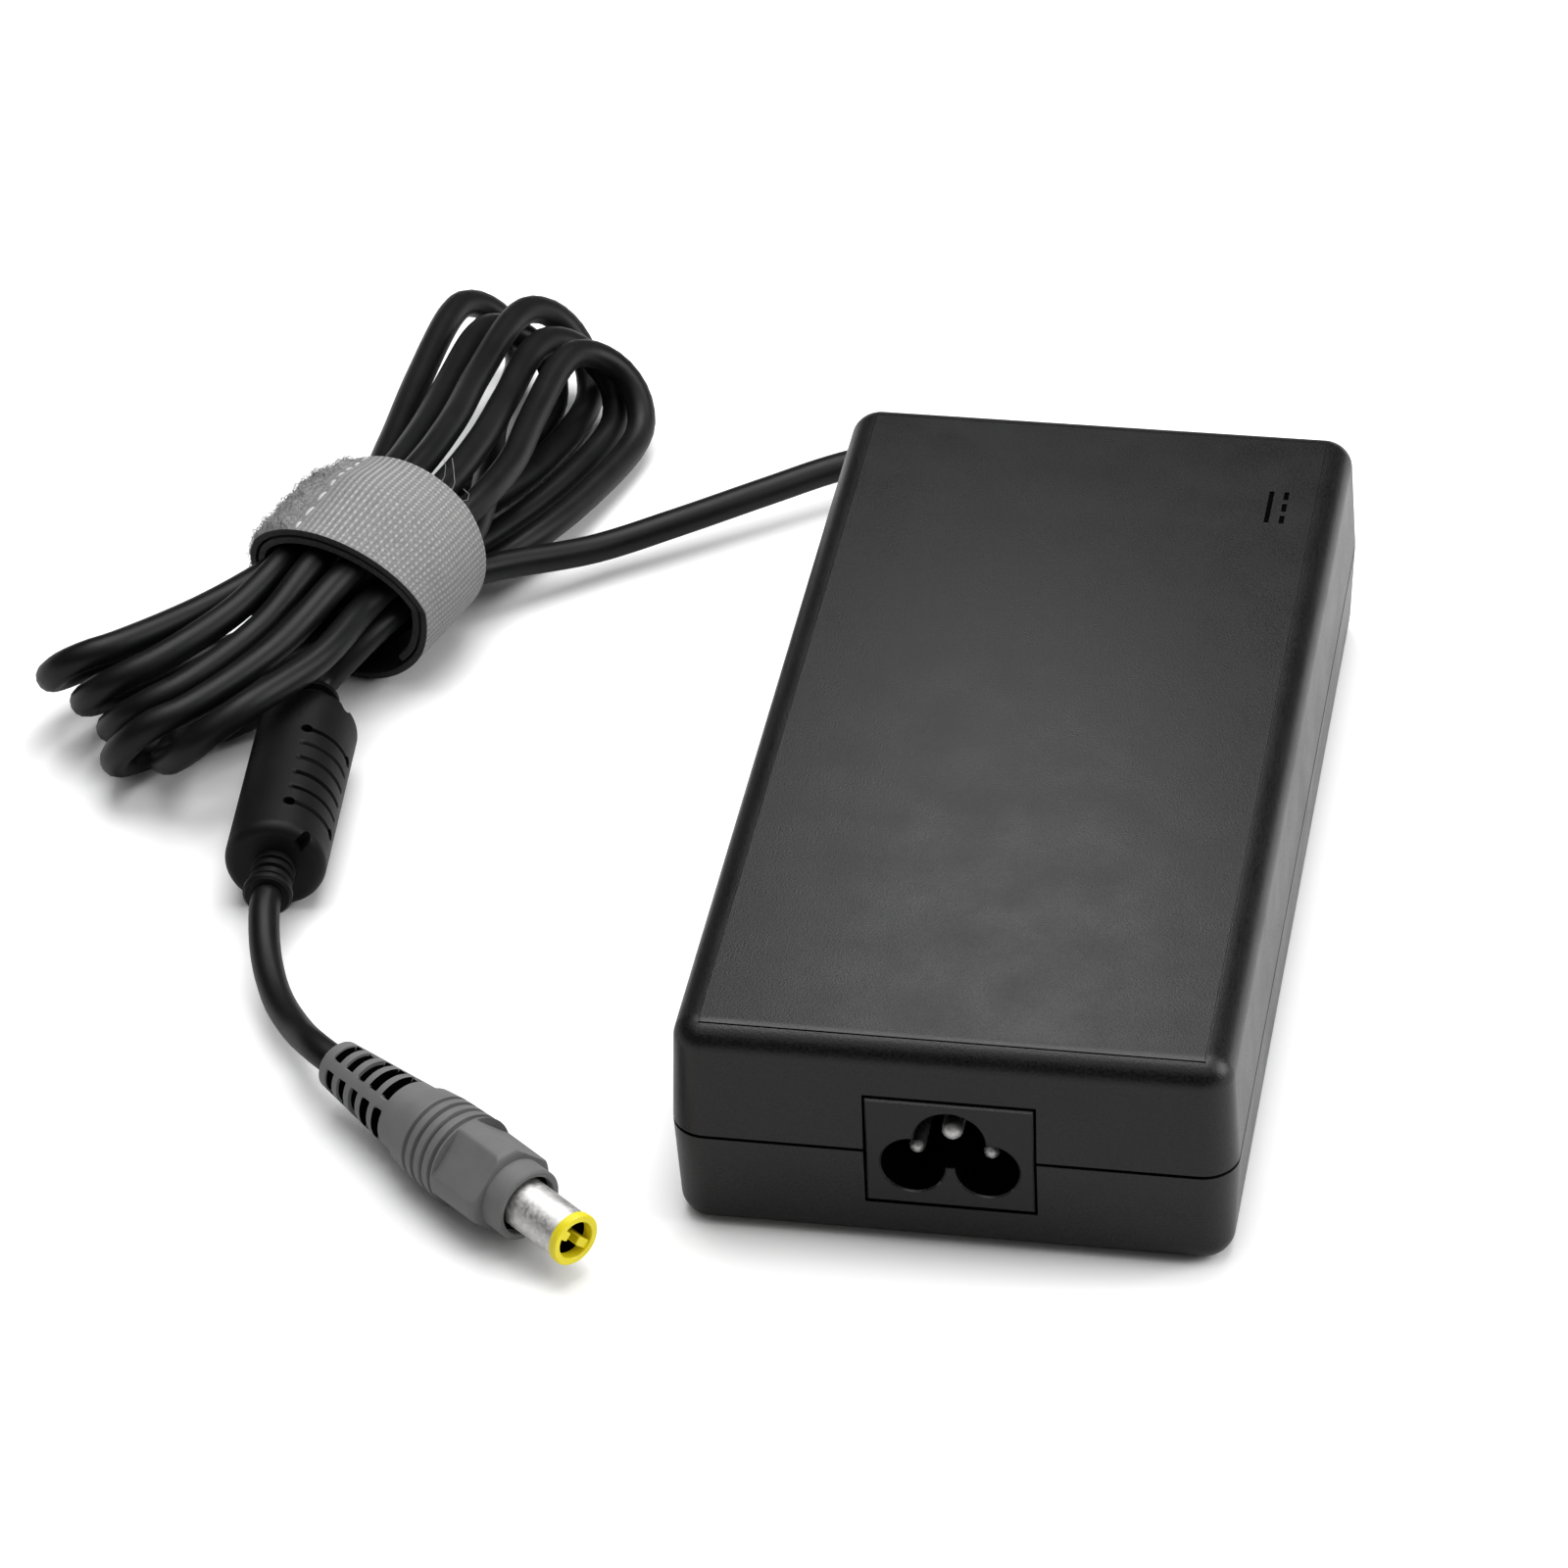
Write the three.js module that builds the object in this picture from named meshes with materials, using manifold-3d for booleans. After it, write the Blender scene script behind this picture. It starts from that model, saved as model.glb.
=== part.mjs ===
// A laptop power adapter: a welded two-shell housing with a three-pole mains inlet, the electronics
// inside it, and an output cord that is tied in a hank and ends in a ferrite moulding and a barrel plug.
// Millimetres, +Z up. The origin is the middle of the housing's underside. The inlet faces -Y.

import * as THREE from 'three';
import { mergeVertices } from 'three/addons/utils/BufferGeometryUtils.js';
import Module from 'manifold-3d';

const wasm = await Module();
wasm.setup();

const CLEARANCE = 0.3; // between pieces that touch on the real product
const MERGE = 1e-4;

// ---------------------------------------------------------------- materials

const finish = (color, roughness, metalness = 0) =>
  new THREE.MeshStandardMaterial({ color, roughness, metalness });

const materials = {
  black_plastic: finish(0x2c2c2d, 0.6),
  grey_plastic: finish(0x5c5c5c, 0.6),
  cord_rubber: finish(0x1a1a1b, 0.5),
  strap_fabric: finish(0x8c8c8c, 0.95),
  yellow_plastic: finish(0xf2d21a, 0.45),
  nickel: finish(0xb9b9b6, 0.3, 1),
  board: finish(0x1f5b3a, 0.7),
  aluminium: finish(0xb4b6b8, 0.45, 1),
  ferrite: finish(0x37373a, 0.8),
  copper: finish(0xb36a3a, 0.4, 1),
  capacitor_sleeve: finish(0x1d2430, 0.5),
  film: finish(0xd8c9a0, 0.6),
  component: finish(0x242426, 0.6),
  ceramic: finish(0x3f6fa8, 0.6),
};

// ---------------------------------------------------------------- geometry helpers

/** Welds a geometry, drops its flat triangles and turns it to face out. */
function welded(geometry) {
  const bare = new THREE.BufferGeometry();
  bare.setAttribute('position', geometry.getAttribute('position').clone());
  if (geometry.index) bare.setIndex(geometry.index.clone());
  const merged = mergeVertices(bare, MERGE);
  const corners = merged.index.array;
  const kept = [];
  for (let i = 0; i < corners.length; i += 3) {
    const [a, b, c] = [corners[i], corners[i + 1], corners[i + 2]];
    if (a !== b && b !== c && c !== a) kept.push(a, b, c);
  }
  const place = merged.getAttribute('position');
  const point = (i) => new THREE.Vector3().fromBufferAttribute(place, i);
  let volume = 0;
  for (let i = 0; i < kept.length; i += 3) {
    volume += point(kept[i]).dot(point(kept[i + 1]).cross(point(kept[i + 2])));
  }
  if (volume < 0) kept.reverse();
  merged.setIndex(kept);
  return merged;
}

function toManifold(geometry) {
  const closed = welded(geometry);
  return new wasm.Manifold(
    new wasm.Mesh({
      numProp: 3,
      vertProperties: new Float32Array(closed.getAttribute('position').array),
      triVerts: new Uint32Array(closed.index.array),
    }),
  );
}

function fromManifold(solid) {
  const mesh = solid.getMesh();
  const geometry = new THREE.BufferGeometry();
  geometry.setAttribute('position', new THREE.BufferAttribute(mesh.vertProperties, 3));
  geometry.setIndex(Array.from(mesh.triVerts));
  return geometry;
}

function joined(...geometries) {
  return fromManifold(geometries.map(toManifold).reduce((all, next) => all.add(next)));
}

function cut(geometry, ...tools) {
  const start = toManifold(geometry);
  return fromManifold(tools.map(toManifold).reduce((left, tool) => left.subtract(tool), start));
}

function common(first, second) {
  return fromManifold(toManifold(first).intersect(toManifold(second)));
}

/** A block between two corners. */
function block([x0, y0, z0], [x1, y1, z1]) {
  const shape = new THREE.BoxGeometry(x1 - x0, y1 - y0, z1 - z0);
  return shape.translate((x0 + x1) / 2, (y0 + y1) / 2, (z0 + z1) / 2);
}

/** A block from its middle in plan, its size and the height that it stands on. */
function blockOn(x, y, z, width, length, height) {
  return block([x - width / 2, y - length / 2, z], [x + width / 2, y + length / 2, z + height]);
}

/** Turns a profile of [radius, distance along the axis] about the axis from start in a direction. */
function turned(profile, sides, start = [0, 0, 0], direction = [0, 0, 1]) {
  const points = profile.map(([radius, along]) => new THREE.Vector2(radius, along));
  const geometry = new THREE.LatheGeometry(points, sides);
  return aimed(geometry.rotateX(Math.PI / 2), start, direction);
}

/** Moves a geometry that was made along +Z to start, and aims it. */
function aimed(geometry, start, direction) {
  const turn = new THREE.Quaternion().setFromUnitVectors(
    new THREE.Vector3(0, 0, 1),
    new THREE.Vector3(...direction).normalize(),
  );
  return geometry.applyQuaternion(turn).translate(...start);
}

const rod = (radius, length, sides, start, direction) =>
  turned([[0, 0], [radius, 0], [radius, length], [0, length]], sides, start, direction);

const pipe = (outer, inner, length, sides, start, direction) =>
  turned([[inner, 0], [outer, 0], [outer, length], [inner, length], [inner, 0]], sides, start, direction);

/** A plain tube of a round section along a smooth curve through points. */
function tube(points, radius, sides, steps) {
  const section = new THREE.Shape();
  for (let i = 0; i < sides; i++) {
    const angle = ((i + 0.5) * 2 * Math.PI) / sides;
    const [x, y] = [radius * Math.cos(angle), radius * Math.sin(angle)];
    if (i === 0) section.moveTo(x, y);
    else section.lineTo(x, y);
  }
  const path = new THREE.CatmullRomCurve3(points.map((p) => new THREE.Vector3(...p)), false, 'centripetal');
  return new THREE.ExtrudeGeometry(section, { steps, bevelEnabled: false, extrudePath: path });
}

/** A closed skin through rings of equally many points, capped at its two ends. */
function skinned(rings) {
  const count = rings[0].length;
  const positions = rings.flat(2);
  const middle = (ring) => [0, 1, 2].map((k) => ring.reduce((sum, p) => sum + p[k], 0) / count);
  positions.push(...middle(rings[0]), ...middle(rings.at(-1)));
  const [startCap, endCap] = [rings.length * count, rings.length * count + 1];
  const last = (rings.length - 1) * count;
  const index = [];
  for (let i = 0; i < count; i++) {
    const next = (i + 1) % count;
    for (let ring = 0; ring < rings.length - 1; ring++) {
      const [a, b] = [ring * count + i, ring * count + next];
      index.push(a, b, b + count, a, b + count, a + count);
    }
    index.push(startCap, next, i, endCap, last + i, last + next);
  }
  const geometry = new THREE.BufferGeometry();
  geometry.setAttribute('position', new THREE.BufferAttribute(new Float32Array(positions), 3));
  geometry.setIndex(index);
  return geometry;
}

const part = new THREE.Group();
part.name = 'laptop_power_adapter';

function add(name, geometry, material) {
  const body = welded(geometry);
  body.computeVertexNormals();
  const mesh = new THREE.Mesh(body, materials[material]);
  mesh.name = name;
  part.add(mesh);
}

// ---------------------------------------------------------------- housing

const HOUSING_LENGTH = 170;
const HOUSING_WIDTH = 84;
const HOUSING_HEIGHT = 36.5;
const PARTING_HEIGHT = 17.35;
const PARTING_GAP = 0.3;
const WALL = 2.2;
const PLAN_CORNER_RADIUS = 5.5;
const LEAST_CORNER_RADIUS = 0.8;
const DRAFT = 0.048; // sideways per millimetre away from the parting line
const TOP_FILLET = 3.9;
const BOTTOM_FILLET = 3.6;
const FILLET_STEPS = 4;
const CORNER_STEPS = 6;
const TONGUE_HEIGHT = 1.5;
const TONGUE_THICKNESS = 0.9;

const nearFace = -HOUSING_LENGTH / 2;
const farFace = HOUSING_LENGTH / 2;
const ceiling = HOUSING_HEIGHT - WALL;
const draftAt = (z) => DRAFT * Math.abs(z - PARTING_HEIGHT);

/** The housing's outline in plan, drawn in by an inset, at a height. */
function outlineRing(inset, z) {
  const radius = Math.max(PLAN_CORNER_RADIUS - inset, LEAST_CORNER_RADIUS);
  const x = HOUSING_WIDTH / 2 - inset - radius;
  const y = HOUSING_LENGTH / 2 - inset - radius;
  const ring = [];
  [[x, y], [-x, y], [-x, -y], [x, -y]].forEach(([cx, cy], corner) => {
    for (let i = 0; i <= CORNER_STEPS; i++) {
      const angle = (corner + i / CORNER_STEPS) * (Math.PI / 2);
      ring.push([cx + radius * Math.cos(angle), cy + radius * Math.sin(angle), z]);
    }
  });
  return ring;
}

/** Insets and heights round an edge fillet, from the flat face to the side. */
function filletSteps(edgeHeight, towardsParting, radius) {
  const steps = [];
  for (let i = 0; i <= FILLET_STEPS; i++) {
    const angle = (i / FILLET_STEPS) * (Math.PI / 2);
    const z = edgeHeight + towardsParting * radius * (1 - Math.cos(angle));
    steps.push([draftAt(z) + radius * (1 - Math.sin(angle)), z]);
  }
  return steps;
}

const tongueRoot = PARTING_HEIGHT - PARTING_GAP / 2;
const rebateMouth = PARTING_HEIGHT + PARTING_GAP / 2;
const tongueTop = tongueRoot + TONGUE_HEIGHT;
const tongueFace = WALL - TONGUE_THICKNESS;

function bottomShellBlank() {
  const profile = [
    ...filletSteps(0, 1, BOTTOM_FILLET),
    [draftAt(tongueRoot), tongueRoot],
    [tongueFace, tongueRoot],
    [tongueFace, tongueTop],
    [WALL, tongueTop],
    [WALL + draftAt(BOTTOM_FILLET), BOTTOM_FILLET],
    [BOTTOM_FILLET + draftAt(WALL), WALL],
  ];
  return skinned(profile.map(([inset, z]) => outlineRing(inset, z)));
}

function topShellBlank() {
  const rebateTop = tongueTop + CLEARANCE;
  const profile = [
    ...filletSteps(HOUSING_HEIGHT, -1, TOP_FILLET),
    [draftAt(rebateMouth), rebateMouth],
    [tongueFace - CLEARANCE, rebateMouth],
    [tongueFace - CLEARANCE, rebateTop],
    [WALL, rebateTop],
    [WALL + draftAt(HOUSING_HEIGHT - TOP_FILLET), HOUSING_HEIGHT - TOP_FILLET],
    [TOP_FILLET + draftAt(ceiling), ceiling],
  ];
  return skinned(profile.map(([inset, z]) => outlineRing(inset, z)));
}

// A fine frame line in the top, nearer the ends than the sides.
const FRAME_LINE_SIDE_INSET = 4.8;
const FRAME_LINE_END_INSET = 3.3;
const FRAME_LINE_WIDTH = 0.45;
const FRAME_LINE_DEPTH = 0.4;

function frameLineCutter() {
  const x = HOUSING_WIDTH / 2 - FRAME_LINE_SIDE_INSET;
  const y = HOUSING_LENGTH / 2 - FRAME_LINE_END_INSET;
  const [low, high] = [HOUSING_HEIGHT - FRAME_LINE_DEPTH, HOUSING_HEIGHT + 1];
  const inner = [x - FRAME_LINE_WIDTH, y - FRAME_LINE_WIDTH];
  return cut(
    block([-x, -y, low], [x, y, high]),
    block([-inner[0], -inner[1], low - 1], [inner[0], inner[1], high + 1]),
  );
}

// A sunk mark of direct current, a bar over three dashes, near the far right corner of the top.
const MARK_LENGTH = 9;
const MARK_BAR_WIDTH = 1.1;
const MARK_DASHES = 3;
const MARK_DASH_GAP = 1.2;
const MARK_ROW_GAP = 1.6;
const MARK_DEPTH = 0.4;
const MARK_FROM_SIDE = 11;
const MARK_FROM_END = 24;

function markCutters() {
  const x = HOUSING_WIDTH / 2 - MARK_FROM_SIDE;
  const y = HOUSING_LENGTH / 2 - MARK_FROM_END;
  const [low, high] = [HOUSING_HEIGHT - MARK_DEPTH, HOUSING_HEIGHT + 1];
  const bar = (xLow, yLow, length) => block([xLow, yLow, low], [xLow + MARK_BAR_WIDTH, yLow + length, high]);
  const start = y - MARK_LENGTH / 2;
  const dash = (MARK_LENGTH - (MARK_DASHES - 1) * MARK_DASH_GAP) / MARK_DASHES;
  const cutters = [bar(x - MARK_ROW_GAP / 2 - MARK_BAR_WIDTH, start, MARK_LENGTH)];
  for (let i = 0; i < MARK_DASHES; i++) {
    cutters.push(bar(x + MARK_ROW_GAP / 2, start + i * (dash + MARK_DASH_GAP), dash));
  }
  return cutters;
}

// ---------------------------------------------------------------- mains inlet

const INLET_WIDTH = 24.8;
const INLET_HEIGHT = 18.8;
const INLET_CENTRE_HEIGHT = 17.6;
const INLET_DEPTH = 19;
const INLET_FLANGE_OVERHANG = 2;
const INLET_FLANGE_THICKNESS = 2;
const CAVITY_DEPTH = 14;
const LOWER_LOBE_RADIUS = 4.8;
const LOWER_LOBE_OFFSET = 5.5;
const LOWER_LOBE_DROP = 2.3; // below the inlet's centre
const UPPER_LOBE_RADIUS = 5.3;
const UPPER_LOBE_RISE = 2.4;
const LIVE_PIN_RADIUS = 1.2;
const LIVE_PIN_RECESS = 3.8;
const EARTH_PIN_RADIUS = 1.6;
const EARTH_PIN_RECESS = 2;
const PIN_TAIL_LENGTH = 3.5;
const PIN_SIDES = 16;
const LOBE_SIDES = 28;

const inletOpeningMargin = CLEARANCE;
const inletBack = nearFace + INLET_DEPTH;
const cavityFloor = nearFace + CAVITY_DEPTH;
const lowerLobeHeight = INLET_CENTRE_HEIGHT - LOWER_LOBE_DROP;
const upperLobeHeight = INLET_CENTRE_HEIGHT + UPPER_LOBE_RISE;

const inletPins = [
  {
    name: 'line_pin',
    x: -LOWER_LOBE_OFFSET,
    z: lowerLobeHeight,
    radius: LIVE_PIN_RADIUS,
    recess: LIVE_PIN_RECESS,
  },
  {
    name: 'neutral_pin',
    x: LOWER_LOBE_OFFSET,
    z: lowerLobeHeight,
    radius: LIVE_PIN_RADIUS,
    recess: LIVE_PIN_RECESS,
  },
  { name: 'earth_pin', x: 0, z: upperLobeHeight, radius: EARTH_PIN_RADIUS, recess: EARTH_PIN_RECESS },
];

function inletWindow(margin, fromY, toY) {
  const [halfWidth, halfHeight] = [INLET_WIDTH / 2 + margin, INLET_HEIGHT / 2 + margin];
  return block(
    [-halfWidth, fromY, INLET_CENTRE_HEIGHT - halfHeight],
    [halfWidth, toY, INLET_CENTRE_HEIGHT + halfHeight],
  );
}

function inletBody() {
  const flangeFront = nearFace + WALL + draftAt(INLET_CENTRE_HEIGHT + INLET_HEIGHT) + CLEARANCE;
  const outer = joined(
    inletWindow(0, nearFace, inletBack),
    inletWindow(INLET_FLANGE_OVERHANG, flangeFront, flangeFront + INLET_FLANGE_THICKNESS),
  );
  const mouth = nearFace - 1;
  const lobe = (x, z, radius) => rod(radius, cavityFloor - mouth, LOBE_SIDES, [x, mouth, z], [0, 1, 0]);
  const web = new THREE.Shape([
    new THREE.Vector2(-LOWER_LOBE_OFFSET, -lowerLobeHeight),
    new THREE.Vector2(LOWER_LOBE_OFFSET, -lowerLobeHeight),
    new THREE.Vector2(0, -upperLobeHeight),
  ]);
  const webTool = new THREE.ExtrudeGeometry(web, { depth: cavityFloor - mouth, bevelEnabled: false });
  webTool.rotateX(-Math.PI / 2).translate(0, mouth, 0);
  const cavity = joined(
    lobe(-LOWER_LOBE_OFFSET, lowerLobeHeight, LOWER_LOBE_RADIUS),
    lobe(LOWER_LOBE_OFFSET, lowerLobeHeight, LOWER_LOBE_RADIUS),
    lobe(0, upperLobeHeight, UPPER_LOBE_RADIUS),
    webTool,
  );
  const pinHoles = inletPins.map(({ x, z, radius }) =>
    rod(radius + CLEARANCE, INLET_DEPTH, PIN_SIDES, [x, cavityFloor - 1, z], [0, 1, 0]),
  );
  return cut(outer, cavity, ...pinHoles);
}

// ---------------------------------------------------------------- stack inside the housing

const SPREADER_THICKNESS = 0.8;
const SHEET_THICKNESS = 0.4;
const LEAD_ROOM = 0.6; // for cut leads under the board
const BOARD_THICKNESS = 1.6;
const BOARD_SIDE_MARGIN = 5; // from the housing's outside
const BOARD_NEAR_MARGIN = 5;
const BOARD_FAR_MARGIN = 7;
const POST_RADIUS = 3;
const POST_FROM_SIDE = 4;
const POST_FROM_END = 8;
const SPREADER_TO_POST = 2;

const lowerSpreaderBase = WALL + CLEARANCE;
const sheetBase = lowerSpreaderBase + SPREADER_THICKNESS + CLEARANCE;
const boardBase = sheetBase + SHEET_THICKNESS + LEAD_ROOM;
const boardTop = boardBase + BOARD_THICKNESS;
const partsBase = boardTop + CLEARANCE;
const upperSpreaderBase = ceiling - CLEARANCE - SPREADER_THICKNESS;
const heatsinkTop = upperSpreaderBase - CLEARANCE;
const boardRight = HOUSING_WIDTH / 2 - BOARD_SIDE_MARGIN;
const boardLeft = -boardRight;
const boardNear = nearFace + BOARD_NEAR_MARGIN;
const boardFar = farFace - BOARD_FAR_MARGIN;
const postX = boardRight - POST_FROM_SIDE;
const postYs = [boardNear + POST_FROM_END, boardFar - POST_FROM_END];
const spreaderRight = postX - POST_RADIUS - SPREADER_TO_POST;

/** Places on the board, in from one of its sides and one of its ends. */
const fromNearLeft = ([side, end]) => [boardLeft + side, boardNear + end];
const fromNearRight = ([side, end]) => [boardRight - side, boardNear + end];
const fromFarLeft = ([side, end]) => [boardLeft + side, boardFar - end];
const fromFarRight = ([side, end]) => [boardRight - side, boardFar - end];

// ---------------------------------------------------------------- cord exit

const CORD_DIAMETER = 4.9;
const CORD_SIDES = 10;
const EXIT_HEIGHT = 13.5; // a little below the parting line, which still splits the hole
const RELIEF_NECK_RADIUS = 5.2;
const RELIEF_FLANGE_RADIUS = 7.4;
const RELIEF_FLANGE_THICKNESS = 2;
const RELIEF_ROOT_RADIUS = 6;
const RELIEF_TIP_RADIUS = 3.4;
const RELIEF_LENGTH = 20;
const RELIEF_RIBS = 6;
const RELIEF_GROOVE_DEPTH = 0.8;
const RELIEF_SIDES = 20;

const cordRadius = CORD_DIAMETER / 2;
const reliefTip = farFace + RELIEF_LENGTH;
const flangeFace = farFace - WALL - draftAt(EXIT_HEIGHT - RELIEF_FLANGE_RADIUS) - CLEARANCE;

function strainRelief() {
  const collar = farFace + CLEARANCE;
  const taper = reliefTip - collar;
  const radiusAt = (share) => RELIEF_ROOT_RADIUS + (RELIEF_TIP_RADIUS - RELIEF_ROOT_RADIUS) * share;
  const profile = [
    [0, flangeFace - RELIEF_FLANGE_THICKNESS],
    [RELIEF_FLANGE_RADIUS, flangeFace - RELIEF_FLANGE_THICKNESS],
    [RELIEF_FLANGE_RADIUS, flangeFace],
    [RELIEF_NECK_RADIUS, flangeFace],
    [RELIEF_NECK_RADIUS, collar],
    [RELIEF_ROOT_RADIUS, collar],
  ];
  for (let rib = 0; rib < RELIEF_RIBS; rib++) {
    const [from, to] = [(rib + 0.55) / (RELIEF_RIBS + 0.5), (rib + 1) / (RELIEF_RIBS + 0.5)];
    profile.push([radiusAt(from), collar + taper * from]);
    profile.push([radiusAt(from) - RELIEF_GROOVE_DEPTH, collar + taper * from]);
    profile.push([radiusAt(to) - RELIEF_GROOVE_DEPTH, collar + taper * to]);
    profile.push([radiusAt(to), collar + taper * to]);
  }
  profile.push([RELIEF_TIP_RADIUS, reliefTip], [0, reliefTip]);
  return turned(profile, RELIEF_SIDES, [0, 0, EXIT_HEIGHT], [0, 1, 0]);
}

function reliefHole() {
  const start = farFace - 1.5 * WALL;
  return rod(RELIEF_NECK_RADIUS + CLEARANCE, 2 * WALL, RELIEF_SIDES, [0, start, EXIT_HEIGHT], [0, 1, 0]);
}

// ---------------------------------------------------------------- shells, inlet and pins

const openings = () => [
  inletWindow(inletOpeningMargin, nearFace - 1, nearFace + WALL + TONGUE_THICKNESS + 1),
  reliefHole(),
];

const posts = postYs.flatMap((y) =>
  [-postX, postX].map((x) => rod(POST_RADIUS, boardBase - CLEARANCE - WALL / 2, PIN_SIDES, [x, y, WALL / 2])),
);

add('bottom_shell', joined(cut(bottomShellBlank(), ...openings()), ...posts), 'black_plastic');
add('top_shell', cut(topShellBlank(), ...openings(), frameLineCutter(), ...markCutters()), 'black_plastic');
add('inlet_body', inletBody(), 'black_plastic');

/** A contact pin's outline, with a rounded tip. */
const pinProfile = (radius, length) => [
  [0, 0],
  [radius * 0.55, radius * 0.12],
  [radius * 0.9, radius * 0.5],
  [radius, radius],
  [radius, length],
  [0, length],
];

for (const { name, x, z, radius, recess } of inletPins) {
  const tip = nearFace + recess;
  const length = inletBack + PIN_TAIL_LENGTH - tip;
  const shank = turned(pinProfile(radius, length), PIN_SIDES, [x, tip, z], [0, 1, 0]);
  const tail = block(
    [x - radius / 2, inletBack + PIN_TAIL_LENGTH / 2, partsBase],
    [x + radius / 2, inletBack + PIN_TAIL_LENGTH, z],
  );
  add(name, joined(shank, tail), 'nickel');
}

// ---------------------------------------------------------------- board, sheet and heat spreaders

/** A flat layer of the stack, as long as the board. */
const layer = (right, base, thickness) =>
  block([-right, boardNear, base], [right, boardFar, base + thickness]);

add('circuit_board', layer(boardRight, boardBase, BOARD_THICKNESS), 'board');
add('insulation_sheet', layer(spreaderRight, sheetBase, SHEET_THICKNESS), 'film');
add('lower_heat_spreader', layer(spreaderRight, lowerSpreaderBase, SPREADER_THICKNESS), 'aluminium');

const UPPER_SPREADER_FROM_SIDE = 2; // in from the board's sides and ends
const UPPER_SPREADER_FROM_NEAR = 35;
const UPPER_SPREADER_FROM_FAR = 5;
const upperSpreaderRight = boardRight - UPPER_SPREADER_FROM_SIDE;
add(
  'upper_heat_spreader',
  block(
    [-upperSpreaderRight, boardNear + UPPER_SPREADER_FROM_NEAR, upperSpreaderBase],
    [upperSpreaderRight, boardFar - UPPER_SPREADER_FROM_FAR, upperSpreaderBase + SPREADER_THICKNESS],
  ),
  'aluminium',
);

// ---------------------------------------------------------------- heatsinks and what is clipped to them

const HEATSINK_THICKNESS = 1.8;
const PRIMARY_SINK_FROM_SIDE = 4; // in from the board's left side to the sink's middle
const PRIMARY_SINK_FROM_NEAR = 46;
const PRIMARY_SINK_FROM_FAR = 34;
const SECONDARY_SINK_FROM_SIDE = 8;
const SECONDARY_SINK_FROM_FAR = 16.5;

const heatsinkHeight = heatsinkTop - partsBase;
const primarySinkX = boardLeft + PRIMARY_SINK_FROM_SIDE;
const primarySinkNear = boardNear + PRIMARY_SINK_FROM_NEAR;
const primarySinkLength = boardFar - PRIMARY_SINK_FROM_FAR - primarySinkNear;
const secondarySinkY = boardFar - SECONDARY_SINK_FROM_FAR;
const secondarySinkLength = 2 * (boardRight - SECONDARY_SINK_FROM_SIDE);
add(
  'primary_heatsink',
  blockOn(
    primarySinkX,
    primarySinkNear + primarySinkLength / 2,
    partsBase,
    HEATSINK_THICKNESS,
    primarySinkLength,
    heatsinkHeight,
  ),
  'aluminium',
);
add(
  'secondary_heatsink',
  blockOn(0, secondarySinkY, partsBase, secondarySinkLength, HEATSINK_THICKNESS, heatsinkHeight),
  'aluminium',
);

const PACKAGE_DEPTH = 4.6;
const PACKAGE_WIDTH = 10;
const PACKAGE_HEIGHT = 18;
const BRIDGE_WIDTH = 24;
const BRIDGE_HEIGHT = 20;
const OUTPUT_RECTIFIER_FROM_SIDE = 25;

// Flat packages stand at the inner face of the primary heatsink, with even gaps between them.
const sinkPackages = [
  { name: 'bridge_rectifier', width: BRIDGE_WIDTH, height: BRIDGE_HEIGHT },
  { name: 'power_factor_transistor', width: PACKAGE_WIDTH, height: PACKAGE_HEIGHT },
  { name: 'main_transistor', width: PACKAGE_WIDTH, height: PACKAGE_HEIGHT },
];
const packagesWidth = sinkPackages.reduce((sum, { width }) => sum + width, 0);
const packageGap = (primarySinkLength - packagesWidth) / (sinkPackages.length + 1);
const sinkToPackage = HEATSINK_THICKNESS / 2 + CLEARANCE + PACKAGE_DEPTH / 2;
const packagesRight = primarySinkX + sinkToPackage + PACKAGE_DEPTH / 2;
let packageStart = primarySinkNear + packageGap;
for (const { name, width, height } of sinkPackages) {
  const middle = packageStart + width / 2;
  const x = primarySinkX + sinkToPackage;
  add(name, blockOn(x, middle, partsBase, PACKAGE_DEPTH, width, height), 'component');
  packageStart += width + packageGap;
}
add(
  'output_rectifier',
  blockOn(
    boardRight - OUTPUT_RECTIFIER_FROM_SIDE,
    secondarySinkY + sinkToPackage,
    partsBase,
    PACKAGE_WIDTH,
    PACKAGE_DEPTH,
    PACKAGE_HEIGHT,
  ),
  'component',
);

// ---------------------------------------------------------------- mains filter

// Each place is in from a side and from the near end of the board.
const FUSE_RADIUS = 2.8;
const FUSE_LENGTH = 20;
const FUSE_INSET = [8, 10];
const DISC_SIDES = 18;
const THERMISTOR_RADIUS = 6;
const THERMISTOR_THICKNESS = 4.5;
const THERMISTOR_INSET = [14, 36];
const VARISTOR_RADIUS = 6.5;
const VARISTOR_THICKNESS = 4;
const VARISTOR_INSET = [10, 10];
const Y_CAPACITOR_RADIUS = 4.5;
const Y_CAPACITOR_THICKNESS = 3.5;
const Y_CAPACITOR_INSET = [10, 22];
const X_CAPACITOR_SIZE = [20, 9, 15];
const X_CAPACITOR_FROM_CHOKE = [23, 14]; // between their middles
const CHOKE_INSET = [19, 42];
const CHOKE_OUTER_RADIUS = 11.5;
const CHOKE_INNER_RADIUS = 6.5;
const CHOKE_HEIGHT = 11;
const CHOKE_WIRE = 1.3;
const CHOKE_SIDES = 28;
const CHOKE_OPEN_WIDTH = 6;

const [chokeX, chokeY] = fromNearRight(CHOKE_INSET);
const chokeSleeve = CHOKE_WIRE + CLEARANCE;

/** A disc that stands on its rim, facing along Y. */
const standingDisc = ([x, y], radius, thickness) =>
  rod(radius, thickness, DISC_SIDES, [x, y, partsBase + radius], [0, 1, 0]);

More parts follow.
